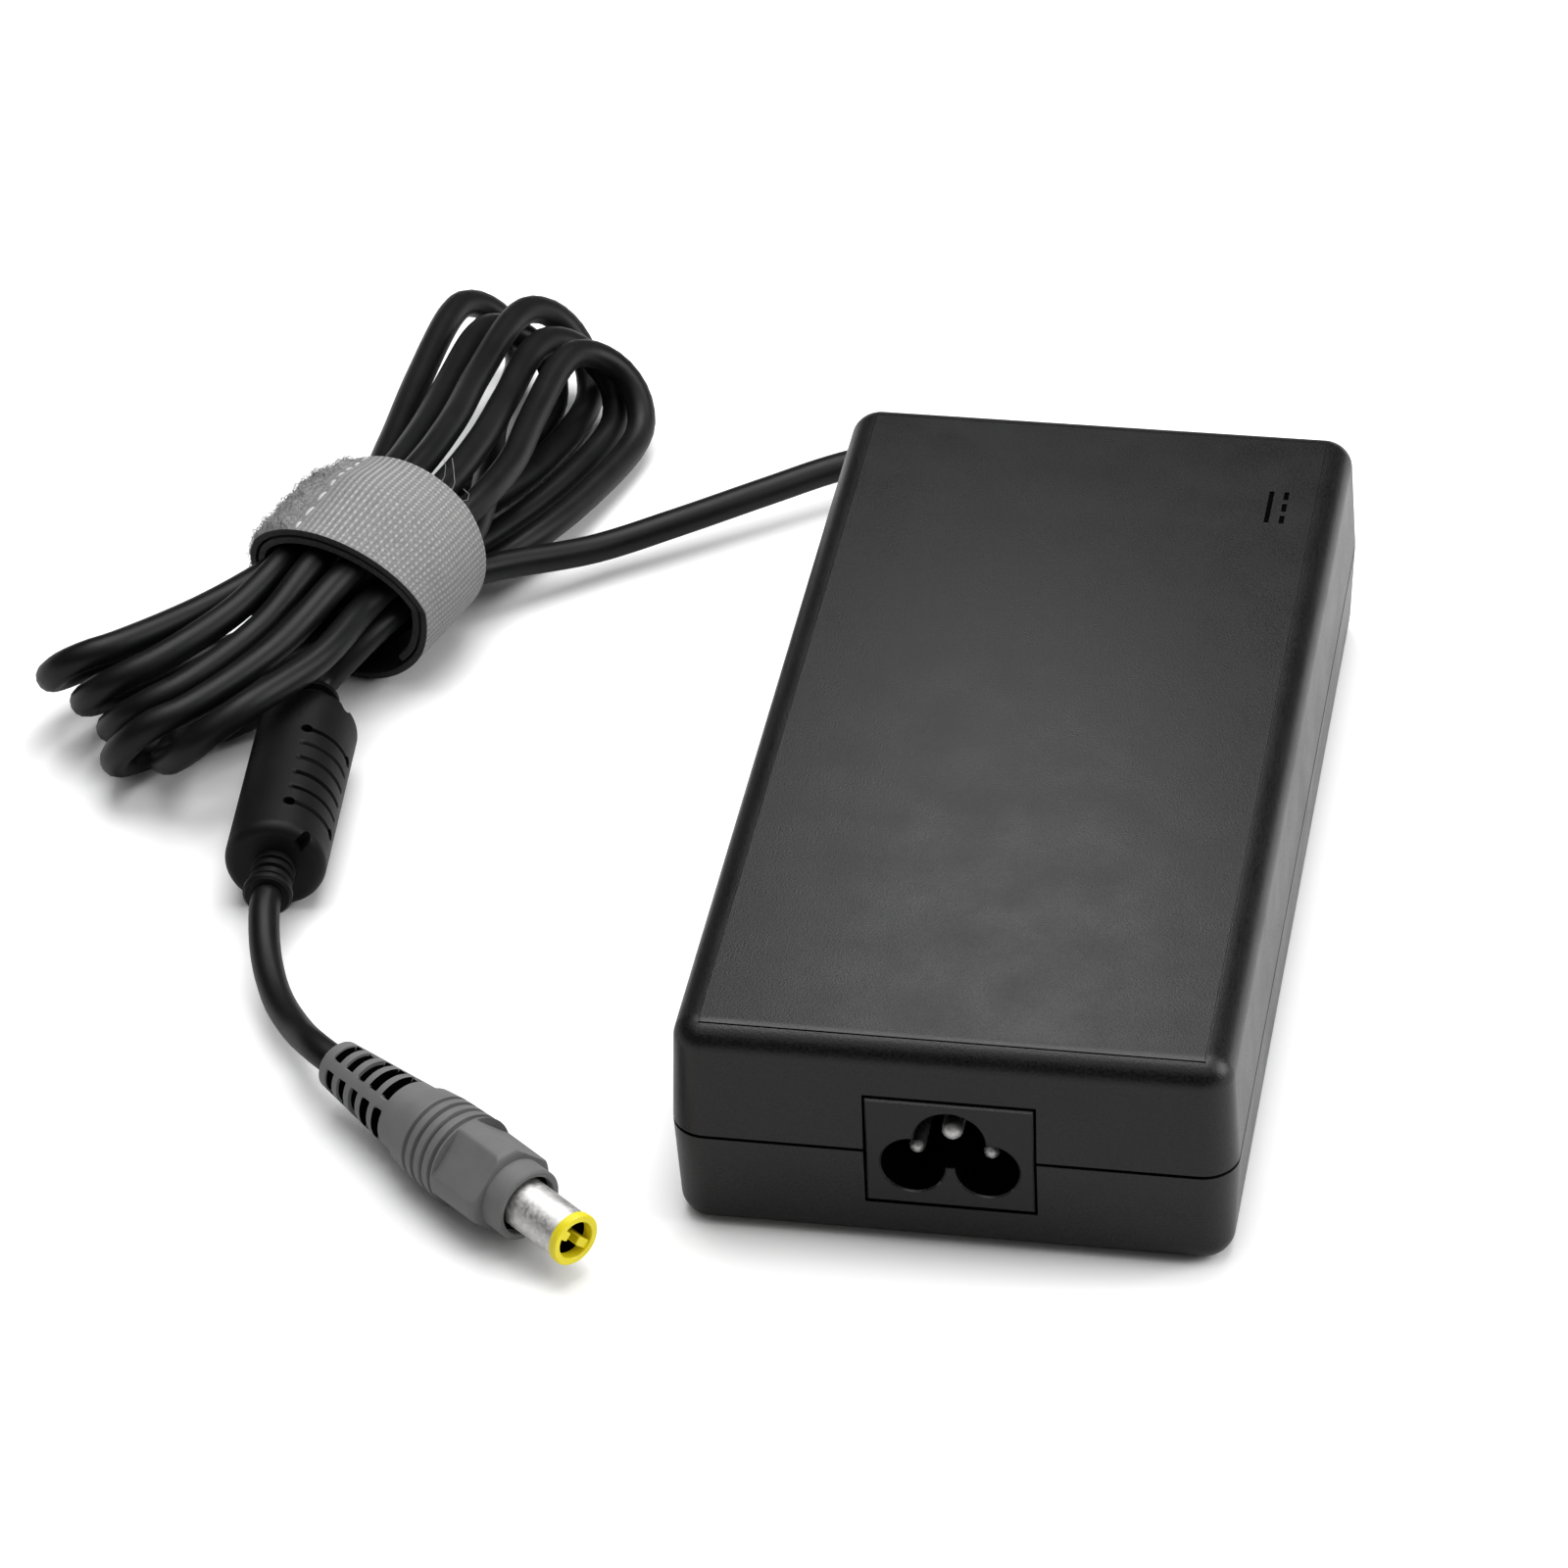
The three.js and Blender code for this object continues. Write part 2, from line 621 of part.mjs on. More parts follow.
/** A cylinder that lies on the board along Y. */
const lyingCan = ([x, y], radius, length, sides) =>
  rod(radius, length, sides, [x, y, partsBase + radius], [0, 1, 0]);

add('fuse', lyingCan(fromNearLeft(FUSE_INSET), FUSE_RADIUS, FUSE_LENGTH, DISC_SIDES), 'ceramic');
add(
  'thermistor',
  standingDisc(fromNearLeft(THERMISTOR_INSET), THERMISTOR_RADIUS, THERMISTOR_THICKNESS),
  'component',
);
add('varistor', standingDisc(fromNearRight(VARISTOR_INSET), VARISTOR_RADIUS, VARISTOR_THICKNESS), 'ceramic');
add(
  'y_capacitor',
  standingDisc(fromNearRight(Y_CAPACITOR_INSET), Y_CAPACITOR_RADIUS, Y_CAPACITOR_THICKNESS),
  'ceramic',
);
const xCapacitorPlace = [chokeX - X_CAPACITOR_FROM_CHOKE[0], chokeY - X_CAPACITOR_FROM_CHOKE[1]];
add('x_capacitor', blockOn(...xCapacitorPlace, partsBase, ...X_CAPACITOR_SIZE), 'film');

/** A ring core on the board, and a winding round it that leaves a gap in the ring bare. */
function ringChoke() {
  const low = partsBase + chokeSleeve;
  const woundHeight = CHOKE_HEIGHT + 2 * chokeSleeve;
  const ring = (margin, height, base) => {
    const [outer, inner] = [CHOKE_OUTER_RADIUS + margin, CHOKE_INNER_RADIUS - margin];
    return pipe(outer, inner, height, CHOKE_SIDES, [chokeX, chokeY, base]);
  };
  const core = ring(0, CHOKE_HEIGHT, low);
  const wound = cut(
    ring(chokeSleeve, woundHeight, partsBase),
    ring(CLEARANCE, CHOKE_HEIGHT + 2 * CLEARANCE, low - CLEARANCE),
    blockOn(
      chokeX,
      chokeY + CHOKE_OUTER_RADIUS,
      partsBase - 1,
      CHOKE_OPEN_WIDTH,
      2 * CHOKE_OUTER_RADIUS,
      woundHeight + 2,
    ),
  );
  return { core, wound };
}

const choke = ringChoke();
add('line_choke_core', choke.core, 'ferrite');
add('line_choke_winding', choke.wound, 'copper');

// ---------------------------------------------------------------- wound parts on E cores

const CORE_BACK = 5; // thickness of a core's yoke and outer legs
const CORE_LEG = 9; // width of its middle leg

/** An E core with its winding round the middle leg. The windows run along Y. */
function onECore([x, y], [width, length, height], coilLength) {
  const windowWidth = (width - 2 * CORE_BACK - CORE_LEG) / 2;
  const windowHeight = height - 2 * CORE_BACK;
  const windowLow = partsBase + CORE_BACK;
  const windowX = CORE_LEG / 2 + windowWidth / 2;
  const window = (side) => blockOn(x + side * windowX, y, windowLow, windowWidth, length + 2, windowHeight);
  const core = cut(blockOn(x, y, partsBase, width, length, height), window(-1), window(1));
  const coilLow = windowLow + CLEARANCE;
  const coilHeight = windowHeight - 2 * CLEARANCE;
  const coilWidth = CORE_LEG + 2 * windowWidth - 2 * CLEARANCE;
  const coil = cut(
    blockOn(x, y, coilLow, coilWidth, coilLength, coilHeight),
    blockOn(x, y, coilLow - 1, CORE_LEG + 2 * CLEARANCE, length + 2 * CLEARANCE, coilHeight + 2),
  );
  return { core, coil };
}

const PFC_INDUCTOR_WIDTH = 28;
const PFC_INDUCTOR_LENGTH = 20;
const PFC_COIL_LENGTH = 30;
const PFC_INDUCTOR_FROM_NEAR = 63;
const PFC_INDUCTOR_HEAD_ROOM = 4.4; // under the heatsinks' top edge
const TRANSFORMER_WIDTH = 35;
const TRANSFORMER_LENGTH = 24;
const TRANSFORMER_COIL_LENGTH = 38;
const TRANSFORMER_FROM_FAR = 42;
const TRANSFORMER_HEAD_ROOM = 2.4;
const BULK_RADIUS = 11;
const BULK_FROM_SIDE = 14;
const BULK_FROM_CHOKE = 4.9;
const BULK_FROM_TRANSFORMER = 1;
const OPTOCOUPLER_SIZE = [6.5, 9, 4];
const OPTOCOUPLER_INSET = [13, 44]; // in from the board's right side and far end
const CONTROL_CHIP_SIZE = [8, 10, 2];
const CONTROL_CHIP_INSET = [13, 30];

// The inductor stands midway between the packages and the bulk capacitor, and the transformer midway between
// the packages and the control chip.
const [chipX, chipY] = fromFarRight(CONTROL_CHIP_INSET);
const bulkX = boardRight - BULK_FROM_SIDE;
const pfcInductor = onECore(
  [(packagesRight + bulkX - BULK_RADIUS) / 2, boardNear + PFC_INDUCTOR_FROM_NEAR],
  [PFC_INDUCTOR_WIDTH, PFC_INDUCTOR_LENGTH, heatsinkHeight - PFC_INDUCTOR_HEAD_ROOM],
  PFC_COIL_LENGTH,
);
add('power_factor_inductor_core', pfcInductor.core, 'ferrite');
add('power_factor_inductor_winding', pfcInductor.coil, 'copper');

const transformerY = boardFar - TRANSFORMER_FROM_FAR;
const transformer = onECore(
  [(packagesRight + chipX - CONTROL_CHIP_SIZE[0] / 2) / 2, transformerY],
  [TRANSFORMER_WIDTH, TRANSFORMER_LENGTH, heatsinkHeight - TRANSFORMER_HEAD_ROOM],
  TRANSFORMER_COIL_LENGTH,
);
add('transformer_core', transformer.core, 'ferrite');
add('transformer_winding', transformer.coil, 'film');

// ---------------------------------------------------------------- capacitors and control parts

const CAPACITOR_SIDES = 24;
const OUTPUT_CAPACITOR_RADIUS = 5;
const OUTPUT_CAPACITOR_HEIGHT = 20;
const OUTPUT_CAPACITOR_INSETS = [
  [13, 8.5],
  [24.5, 8.5],
];

// The bulk capacitor fills the room between the choke and the transformer.
const bulkNear = chokeY + CHOKE_OUTER_RADIUS + chokeSleeve + BULK_FROM_CHOKE;
const bulkFar = transformerY - TRANSFORMER_COIL_LENGTH / 2 - BULK_FROM_TRANSFORMER;
add(
  'bulk_capacitor',
  lyingCan([bulkX, bulkNear], BULK_RADIUS, bulkFar - bulkNear, CAPACITOR_SIDES),
  'capacitor_sleeve',
);
OUTPUT_CAPACITOR_INSETS.forEach((inset, i) => {
  const foot = [...fromFarLeft(inset), partsBase];
  const can = rod(OUTPUT_CAPACITOR_RADIUS, OUTPUT_CAPACITOR_HEIGHT, CAPACITOR_SIDES, foot);
  add(`output_capacitor_${i + 1}`, can, 'capacitor_sleeve');
});
add('optocoupler', blockOn(...fromFarRight(OPTOCOUPLER_INSET), partsBase, ...OPTOCOUPLER_SIZE), 'component');
add('control_chip', blockOn(chipX, chipY, partsBase, ...CONTROL_CHIP_SIZE), 'component');

const OUTPUT_LEAD_RADIUS = 1.7;
const OUTPUT_LEAD_FROM_FAR = 8;
const OUTPUT_LEAD_RISE = 3; // straight up from the board
const OUTPUT_LEAD_STRAIGHT = 4; // level into the strain relief
const OUTPUT_LEAD_BEND = [1.2, 3.5]; // from its foot towards the far end, and below its exit
const OUTPUT_LEAD_STEPS = 12;

const leadFoot = boardFar - OUTPUT_LEAD_FROM_FAR;
const leadEnd = flangeFace - RELIEF_FLANGE_THICKNESS - CLEARANCE;
add(
  'output_lead',
  tube(
    [
      [0, leadFoot, partsBase],
      [0, leadFoot, partsBase + OUTPUT_LEAD_RISE],
      [0, leadFoot + OUTPUT_LEAD_BEND[0], EXIT_HEIGHT - OUTPUT_LEAD_BEND[1]],
      [0, leadEnd - OUTPUT_LEAD_STRAIGHT, EXIT_HEIGHT],
      [0, leadEnd, EXIT_HEIGHT],
    ],
    OUTPUT_LEAD_RADIUS,
    CORD_SIDES,
    OUTPUT_LEAD_STEPS,
  ),
  'cord_rubber',
);
add('housing_strain_relief', strainRelief(), 'black_plastic');

// ---------------------------------------------------------------- ferrite moulding

const FERRITE_TOP = [-122.2, 28.8, 8.3];
const FERRITE_FOOT = [-117.7, -24.3, 8.3];
const FERRITE_BODY_RADIUS = 8.1;
const FERRITE_ROUNDING = 3;
const FERRITE_BOOT_LENGTH = 7.5;
const FERRITE_BOOT_RADIUS = 3.5;
const FERRITE_BOOT_RINGS = 3;
const FERRITE_BOOT_GROOVE = 0.5;
const FERRITE_CORE_RADIUS = 5.6;
const FERRITE_CORE_END_WALL = 3;
const FERRITE_SIDES = 24;
const GRIP_GROOVES = 6;
const GRIP_GROOVE_PITCH = 3.9;
const GRIP_PAST_MIDDLE = 2.2; // of the moulding, towards its foot
const GRIP_GROOVE_WIDTH = 0.7;
const GRIP_GROOVE_DEPTH = 0.6;

const ferriteTop = new THREE.Vector3(...FERRITE_TOP);
const ferriteFoot = new THREE.Vector3(...FERRITE_FOOT);
const ferriteWay = ferriteFoot.clone().sub(ferriteTop).normalize();
const ferriteLength = ferriteFoot.distanceTo(ferriteTop);
const cordBore = cordRadius + CLEARANCE;
const ferriteAt = (along) => ferriteTop.clone().addScaledVector(ferriteWay, along).toArray();

/** One end boot's outer profile, from its tip to the body. */
function bootProfile() {
  const pitch = FERRITE_BOOT_LENGTH / (FERRITE_BOOT_RINGS + 0.5);
  const groove = FERRITE_BOOT_RADIUS - FERRITE_BOOT_GROOVE;
  const profile = [];
  for (let ring = 0; ring < FERRITE_BOOT_RINGS; ring++) {
    profile.push([FERRITE_BOOT_RADIUS, ring * pitch], [FERRITE_BOOT_RADIUS, (ring + 0.6) * pitch]);
    profile.push([groove, (ring + 0.65) * pitch], [groove, (ring + 0.95) * pitch]);
  }
  profile.push([FERRITE_BOOT_RADIUS, FERRITE_BOOT_RINGS * pitch], [FERRITE_BOOT_RADIUS, FERRITE_BOOT_LENGTH]);
  return profile;
}

function ferriteEndProfile() {
  const shoulder = FERRITE_BODY_RADIUS - FERRITE_ROUNDING;
  const profile = bootProfile();
  for (const share of [0, 1 / 3, 2 / 3, 1]) {
    const angle = (share * Math.PI) / 2;
    profile.push([
      shoulder + FERRITE_ROUNDING * Math.sin(angle),
      FERRITE_BOOT_LENGTH + FERRITE_ROUNDING * (1 - Math.cos(angle)),
    ]);
  }
  return profile;
}

function ferriteCover() {
  const near = ferriteEndProfile();
  const far = near.map(([radius, along]) => [radius, ferriteLength - along]).reverse();
  const chamberStart = FERRITE_BOOT_LENGTH + FERRITE_CORE_END_WALL;
  const chamberEnd = ferriteLength - chamberStart;
  const chamber = FERRITE_CORE_RADIUS + CLEARANCE;
  const inside = [
    [cordBore, ferriteLength],
    [cordBore, chamberEnd],
    [chamber, chamberEnd],
    [chamber, chamberStart],
    [cordBore, chamberStart],
    [cordBore, 0],
  ];
  const way = ferriteWay.toArray();
  const body = turned([...near, ...far, ...inside, near[0]], FERRITE_SIDES, FERRITE_TOP, way);
  const middle = ferriteLength / 2 + GRIP_PAST_MIDDLE;
  const grooves = [];
  for (let i = 0; i < GRIP_GROOVES; i++) {
    const along = middle + (i - (GRIP_GROOVES - 1) / 2) * GRIP_GROOVE_PITCH;
    const ring = pipe(
      FERRITE_BODY_RADIUS + 1,
      FERRITE_BODY_RADIUS - GRIP_GROOVE_DEPTH,
      GRIP_GROOVE_WIDTH,
      FERRITE_SIDES,
      ferriteAt(along),
      way,
    );
    const right = block(
      [ferriteTop.x + FERRITE_BODY_RADIUS / 4, ferriteFoot.y, ferriteTop.z - FERRITE_BODY_RADIUS / 2],
      [ferriteTop.x + 3 * FERRITE_BODY_RADIUS, ferriteTop.y, ferriteTop.z + 2 * FERRITE_BODY_RADIUS],
    );
    grooves.push(common(ring, right));
  }
  return cut(body, ...grooves);
}

function ferriteCore() {
  const start = FERRITE_BOOT_LENGTH + FERRITE_CORE_END_WALL + CLEARANCE;
  const length = ferriteLength - 2 * start;
  return pipe(FERRITE_CORE_RADIUS, cordBore, length, FERRITE_SIDES, ferriteAt(start), ferriteWay.toArray());
}

add('ferrite_cover', ferriteCover(), 'black_plastic');
add('ferrite_core', ferriteCore(), 'ferrite');

// ---------------------------------------------------------------- strap

const STRAP_WIDTH = 19;
const STRAP_THICKNESS = 1.3;
const STRAP_OUTER_END = 205; // degrees round the bundle, from its right side up over the top
const STRAP_OVERLAP = 215;
const STRAP_STEP_START = 290; // degrees travelled before the band steps inside its own start
const STRAP_STEP_END = 350;
const STRAP_DEGREES_PER_STEP = 10;
const BUNDLE_RADIUS = 10.2; // of the ring that the strands' middles make at the waist
const BUNDLE_MARGIN = 0.45;

const WAIST = [-118.5, 56];
const WAIST_HEADING = (64 * Math.PI) / 180;

const strapInner = BUNDLE_RADIUS + cordRadius + BUNDLE_MARGIN;
const strapOuter = strapInner + STRAP_THICKNESS + CLEARANCE;
const waistHeight = strapOuter + STRAP_THICKNESS + CLEARANCE / 2;

function smooth(share) {
  const t = Math.min(Math.max(share, 0), 1);
  return t * t * (3 - 2 * t);
}

/** The band wraps the bundle, and its last stretch lies under its own start. */
function strap() {
  const edge = (thickness) => {
    const points = [];
    for (let travelled = 0; travelled <= 360 + STRAP_OVERLAP; travelled += STRAP_DEGREES_PER_STEP) {
      const stepped = smooth((travelled - STRAP_STEP_START) / (STRAP_STEP_END - STRAP_STEP_START));
      const radius = strapOuter + (strapInner - strapOuter) * stepped + thickness;
      const angle = ((STRAP_OUTER_END - travelled) * Math.PI) / 180;
      points.push(new THREE.Vector2(radius * Math.cos(angle), radius * Math.sin(angle)));
    }
    return points;
  };
  const outline = new THREE.Shape([...edge(STRAP_THICKNESS), ...edge(0).reverse()]);
  const band = new THREE.ExtrudeGeometry(outline, { depth: STRAP_WIDTH, bevelEnabled: false });
  band.translate(0, 0, -STRAP_WIDTH / 2);
  const right = new THREE.Vector3(Math.sin(WAIST_HEADING), -Math.cos(WAIST_HEADING), 0);
  const up = new THREE.Vector3(0, 0, 1);
  const along = new THREE.Vector3().crossVectors(right, up);
  band.applyMatrix4(new THREE.Matrix4().makeBasis(right, up, along));
  return band.translate(WAIST[0], WAIST[1], waistHeight);
}

add('hook_and_loop_strap', strap(), 'strap_fabric');

// ---------------------------------------------------------------- hank

// The cord runs to and fro through the strap. Its loops fan out past both ends of the strap, where they
// lean: towards the plug's side at the lower end and away from it at the upper end.
const LOOPS = 5;
const FOLD_RADIUS = 9.6;
const POINTS_A_FOLD = 6;
const HANK_SIDES = 6;
const BEND_AT_WAIST = (38 * Math.PI) / 180; // between the directions of the two ends of the hank
const BEND_HALF_LENGTH = 34;
const LOWER_LEAN = (46 * Math.PI) / 180;
const UPPER_LEAN = (-42 * Math.PI) / 180;
const LOWER_REACH = [40, 48, 44, 45, 47]; // of each loop's runs past the strap's middle
const UPPER_REACH = [64, 68, 74, 71, 78];
const LOWER_FAN = [13.5, 7.5, -1.5, -8.5, -14.5]; // sideways place of each loop at its fold
const UPPER_FAN = [9.5, 5, 0.5, -4.5, -10];
const LOWER_LIFT = [3.5, 0, 1, 2, 3]; // of each fold above the floor
const UPPER_RING_ANGLES = [28, 61, 94, 127, 160];
const LOWER_RING_ANGLES = [-38, -71, -103, -135, -168];
const LAST_RING_ANGLE = -5; // of the run that leaves for the plug, on the bundle's right
const LAST_RUN_DROP = 2; // of that run on its way through the strap
const FLOOR_CLEARANCE = 0.15;
const STRAP_MOUTH = 12; // from the strap's middle to where the first run starts and the last one ends
const SETTLE_ROUNDS = 240;
const SETTLE_GAP = 1.2;
const SETTLE_EVENNESS = 0.5; // how far each point first moves with the two beside it
const SAMPLES_A_STEP = 4;

/** A point on the hank's line in plan, and the way that it heads there. */
function hankLine(along) {
  const bendRadius = (2 * BEND_HALF_LENGTH) / BEND_AT_WAIST;
  const bent = Math.min(Math.max(along, -BEND_HALF_LENGTH), BEND_HALF_LENGTH);
  const heading = WAIST_HEADING + bent / bendRadius;
  const straight = along - bent;
  return {
    x: WAIST[0] + bendRadius * (Math.sin(heading) - Math.sin(WAIST_HEADING)) + straight * Math.cos(heading),
    y: WAIST[1] - bendRadius * (Math.cos(heading) - Math.cos(WAIST_HEADING)) + straight * Math.sin(heading),
    heading,
  };
}

function hankPoint(along, [side, height]) {
  const { x, y, heading } = hankLine(along);
  return new THREE.Vector3(x + side * Math.sin(heading), y - side * Math.cos(heading), height);
}

const ringSlot = (degrees) => {
  const angle = (degrees * Math.PI) / 180;
  return [BUNDLE_RADIUS * Math.cos(angle), waistHeight + BUNDLE_RADIUS * Math.sin(angle)];
};

/** The place across the hank of a point on a loop's fold. Level is 1 at the fold's top and -1 at its foot. */
function foldSlot(fan, lean, lift, level) {
  const middle = cordRadius + FLOOR_CLEARANCE + FOLD_RADIUS * Math.cos(lean) + lift;
  return [fan + level * FOLD_RADIUS * Math.sin(lean), middle + level * FOLD_RADIUS * Math.cos(lean)];
}

const lowerFold = (loop, level) => foldSlot(LOWER_FAN[loop], LOWER_LEAN, LOWER_LIFT[loop], level);
const upperFold = (loop, level) => foldSlot(UPPER_FAN[loop], UPPER_LEAN, 0, level);

/** A point of a run, which goes from its upper end through its slot at the waist to its lower end. */
function runPoint(along, waistSlot, upperEnd, lowerEnd) {
  const end = along > 0 ? upperEnd : lowerEnd;
  const share = smooth(Math.abs(along) / end.reach);
  return hankPoint(along, waistSlot.map((value, k) => value + (end.slot[k] - value) * share));
}

/** The places along the hank of a run's points, without the last, which the next fold has. */
function runStops(from, to) {
  const mouths = [STRAP_MOUTH, -STRAP_MOUTH];
  const upper = [1, 2 / 3, 1 / 3].map((share) => STRAP_MOUTH + (from - STRAP_MOUTH) * share);
  const lower = [(to - STRAP_MOUTH) / 2];
  return [...(from > STRAP_MOUTH ? upper : []), ...mouths, ...(to < -STRAP_MOUTH ? lower : [])];
}

/** The points of the hank, in the order in which the cord passes them. */
function hankRoute() {
  const route = [];
  const run = (from, to, waistSlot, upperEnd, lowerEnd) => {
    const down = from > to;
    const stops = runStops(Math.max(from, to), Math.min(from, to));
    const passed = down ? stops : stops.slice(1).reverse();
    if (!down) passed.unshift(from);
    route.push(...passed.map((along) => runPoint(along, waistSlot, upperEnd, lowerEnd)));
  };
  const fold = (reach, outwards, slotAt) => {
    for (let i = 0; i < POINTS_A_FOLD; i++) {
      const angle = (i / POINTS_A_FOLD) * Math.PI;
      route.push(hankPoint(outwards * (reach + FOLD_RADIUS * Math.sin(angle)), slotAt(Math.cos(angle))));
    }
  };
  const lowerEnd = (loop, level) => ({ reach: LOWER_REACH[loop], slot: lowerFold(loop, level) });
  const upperEnd = (loop, level) => ({ reach: UPPER_REACH[loop], slot: upperFold(loop, level) });
  for (let loop = 0; loop < LOOPS; loop++) {
    const came = Math.max(loop - 1, 0);
    const from = loop === 0 ? STRAP_MOUTH : UPPER_REACH[came];
    const [low, high] = [-LOWER_REACH[loop], UPPER_REACH[loop]];
    const [slotDown, slotUp] = [ringSlot(LOWER_RING_ANGLES[loop]), ringSlot(UPPER_RING_ANGLES[loop])];
    run(from, low, slotDown, upperEnd(came, -1), lowerEnd(loop, -1));
    fold(-low, -1, (level) => lowerFold(loop, -level));
    run(low, high, slotUp, upperEnd(loop, 1), lowerEnd(loop, 1));
    fold(high, 1, (level) => upperFold(loop, level));
  }
  const last = LOOPS - 1;
  const lastSlot = ringSlot(LAST_RING_ANGLE);
  const leaving = { reach: STRAP_MOUTH, slot: [lastSlot[0], lastSlot[1] - LAST_RUN_DROP] };
  run(UPPER_REACH[last], -STRAP_MOUTH, lastSlot, upperEnd(last, -1), leaving);
  return route;
}

/** Points between the route's points, each with the two that it lies between and its share of the way. */
function samplesOf(route) {
  const samples = [];
  for (let i = 0; i < route.length - 1; i++) {
    for (let k = 0; k < SAMPLES_A_STEP; k++) {
      const share = k / SAMPLES_A_STEP;
      samples.push({ i, share, at: route[i].clone().lerp(route[i + 1], share) });
    }
  }
  return samples;
}

/** Calls back with each two samples of different stretches that are nearer than a distance. */
function eachNearPair(samples, distance, callback) {
  for (let a = 0; a < samples.length; a++) {
    for (let b = a + 1; b < samples.length; b++) {
      if (samples[b].i - samples[a].i < 3) continue;
      const apart = samples[a].at.distanceTo(samples[b].at);
      if (apart < distance) callback(samples[a], samples[b], apart);
    }
  }
}

/** How far a sample must move to clear the ferrite moulding, or null. */
function offFerrite(at) {
  const along = at.clone().sub(ferriteTop).dot(ferriteWay);
  if (along < -CORD_DIAMETER || along > ferriteLength) return null;
  const radius = along < FERRITE_BOOT_LENGTH - CORD_DIAMETER ? FERRITE_BOOT_RADIUS : FERRITE_BODY_RADIUS;
  const away = at.clone().sub(ferriteTop).addScaledVector(ferriteWay, -along);
  const lack = radius + cordRadius + SETTLE_GAP - away.length();
  return lack > 0 ? away.setLength(lack) : null;
}

/** Lets the runs push each other apart until a diameter and a gap lie between their middles. */
function settled(start) {
  const route = start.map((point) => point.clone());
  const wanted = CORD_DIAMETER + SETTLE_GAP;
  const held = 1;
  for (let round = 0; round < SETTLE_ROUNDS; round++) {
    const push = route.map(() => new THREE.Vector3());
    const weight = route.map(() => 0);
    eachNearPair(samplesOf(route), wanted, (a, b, apart) => {
      const away = b.at.clone().sub(a.at).multiplyScalar((wanted - apart) / 2 / Math.max(apart, 0.01));
      for (const [sample, sign] of [[a, -1], [b, 1]]) {
        for (const [i, share] of [[sample.i, 1 - sample.share], [sample.i + 1, sample.share]]) {
          push[i].addScaledVector(away, sign * share);
          weight[i] += share;
        }
      }
    });
    for (const sample of samplesOf(route)) {
      const away = offFerrite(sample.at);
      if (!away) continue;
      for (const [i, share] of [[sample.i, 1 - sample.share], [sample.i + 1, sample.share]]) {
        push[i].addScaledVector(away, share);
        weight[i] += share;
      }
    }
    const evenness = SETTLE_EVENNESS * (1 - round / SETTLE_ROUNDS);
    const moved = route.map((point, i) => {
      const pushed = point.clone().sub(start[i]);
      return weight[i] > 0 ? pushed.addScaledVector(push[i], 1 / weight[i]) : pushed;
    });
    for (let i = held; i < route.length - held; i++) {
      const even = moved[i].clone().multiplyScalar(2).add(moved[i - 1]).add(moved[i + 1]);
      even.multiplyScalar(0.25);
      route[i].copy(start[i]).add(moved[i].clone().lerp(even, evenness));
      route[i].z = Math.max(route[i].z, cordRadius + FLOOR_CLEARANCE);
      keepInStrap(route[i]);
    }
  }
  return route;
}

/** Draws a point that is between the strap's edges back inside the bundle. */
function keepInStrap(point) {
  const [dx, dy] = [point.x - WAIST[0], point.y - WAIST[1]];
  const along = dx * Math.cos(WAIST_HEADING) + dy * Math.sin(WAIST_HEADING);
  if (Math.abs(along) > STRAP_MOUTH + cordRadius) return;
  const side = dx * Math.sin(WAIST_HEADING) - dy * Math.cos(WAIST_HEADING);
  const rise = point.z - waistHeight;
  const out = Math.hypot(side, rise);
  const excess = out - BUNDLE_RADIUS;
  if (excess <= 0) return;
  const back = (side * excess) / out;
  point.x -= back * Math.sin(WAIST_HEADING);
  point.y += back * Math.cos(WAIST_HEADING);
  point.z -= (rise * excess) / out;
}

/** An unbroken tube with a ring of points at each point of a route. */
function loopTube(route, radius, sides) {
  const ways = route.map((point, i) => {
    const [before, after] = [route[Math.max(i - 1, 0)], route[Math.min(i + 1, route.length - 1)]];
    return after.clone().sub(before).normalize();
  });
  let across = new THREE.Vector3(0, 0, 1);
  const rings = route.map((point, i) => {
    across = across.clone().addScaledVector(ways[i], -across.dot(ways[i])).normalize();
    const other = new THREE.Vector3().crossVectors(ways[i], across);
    const ring = [];
    for (let k = 0; k < sides; k++) {
      const angle = (k * 2 * Math.PI) / sides;
      const spoke = across.clone().multiplyScalar(radius * Math.cos(angle));
      ring.push(spoke.addScaledVector(other, radius * Math.sin(angle)).add(point).toArray());
    }
    return ring;
  });
  return skinned(rings);
}

function leastGap(route) {
  let least = Infinity;
  eachNearPair(samplesOf(route), 4 * CORD_DIAMETER, (a, b, apart) => {
    if (apart < least) least = apart;
  });
  return least - CORD_DIAMETER;
}

const hank = settled(hankRoute());
console.log(`hank's least gap to itself: ${leastGap(hank).toFixed(2)} mm`);
add('cord_hank', loopTube(hank, cordRadius, HANK_SIDES), 'cord_rubber');

// ---------------------------------------------------------------- cord from the housing to the hank

/** The point past an end of a route, straight on from it. */
function straightOn(end, before, distance) {
  return end.clone().addScaledVector(end.clone().sub(before).normalize(), distance);
}

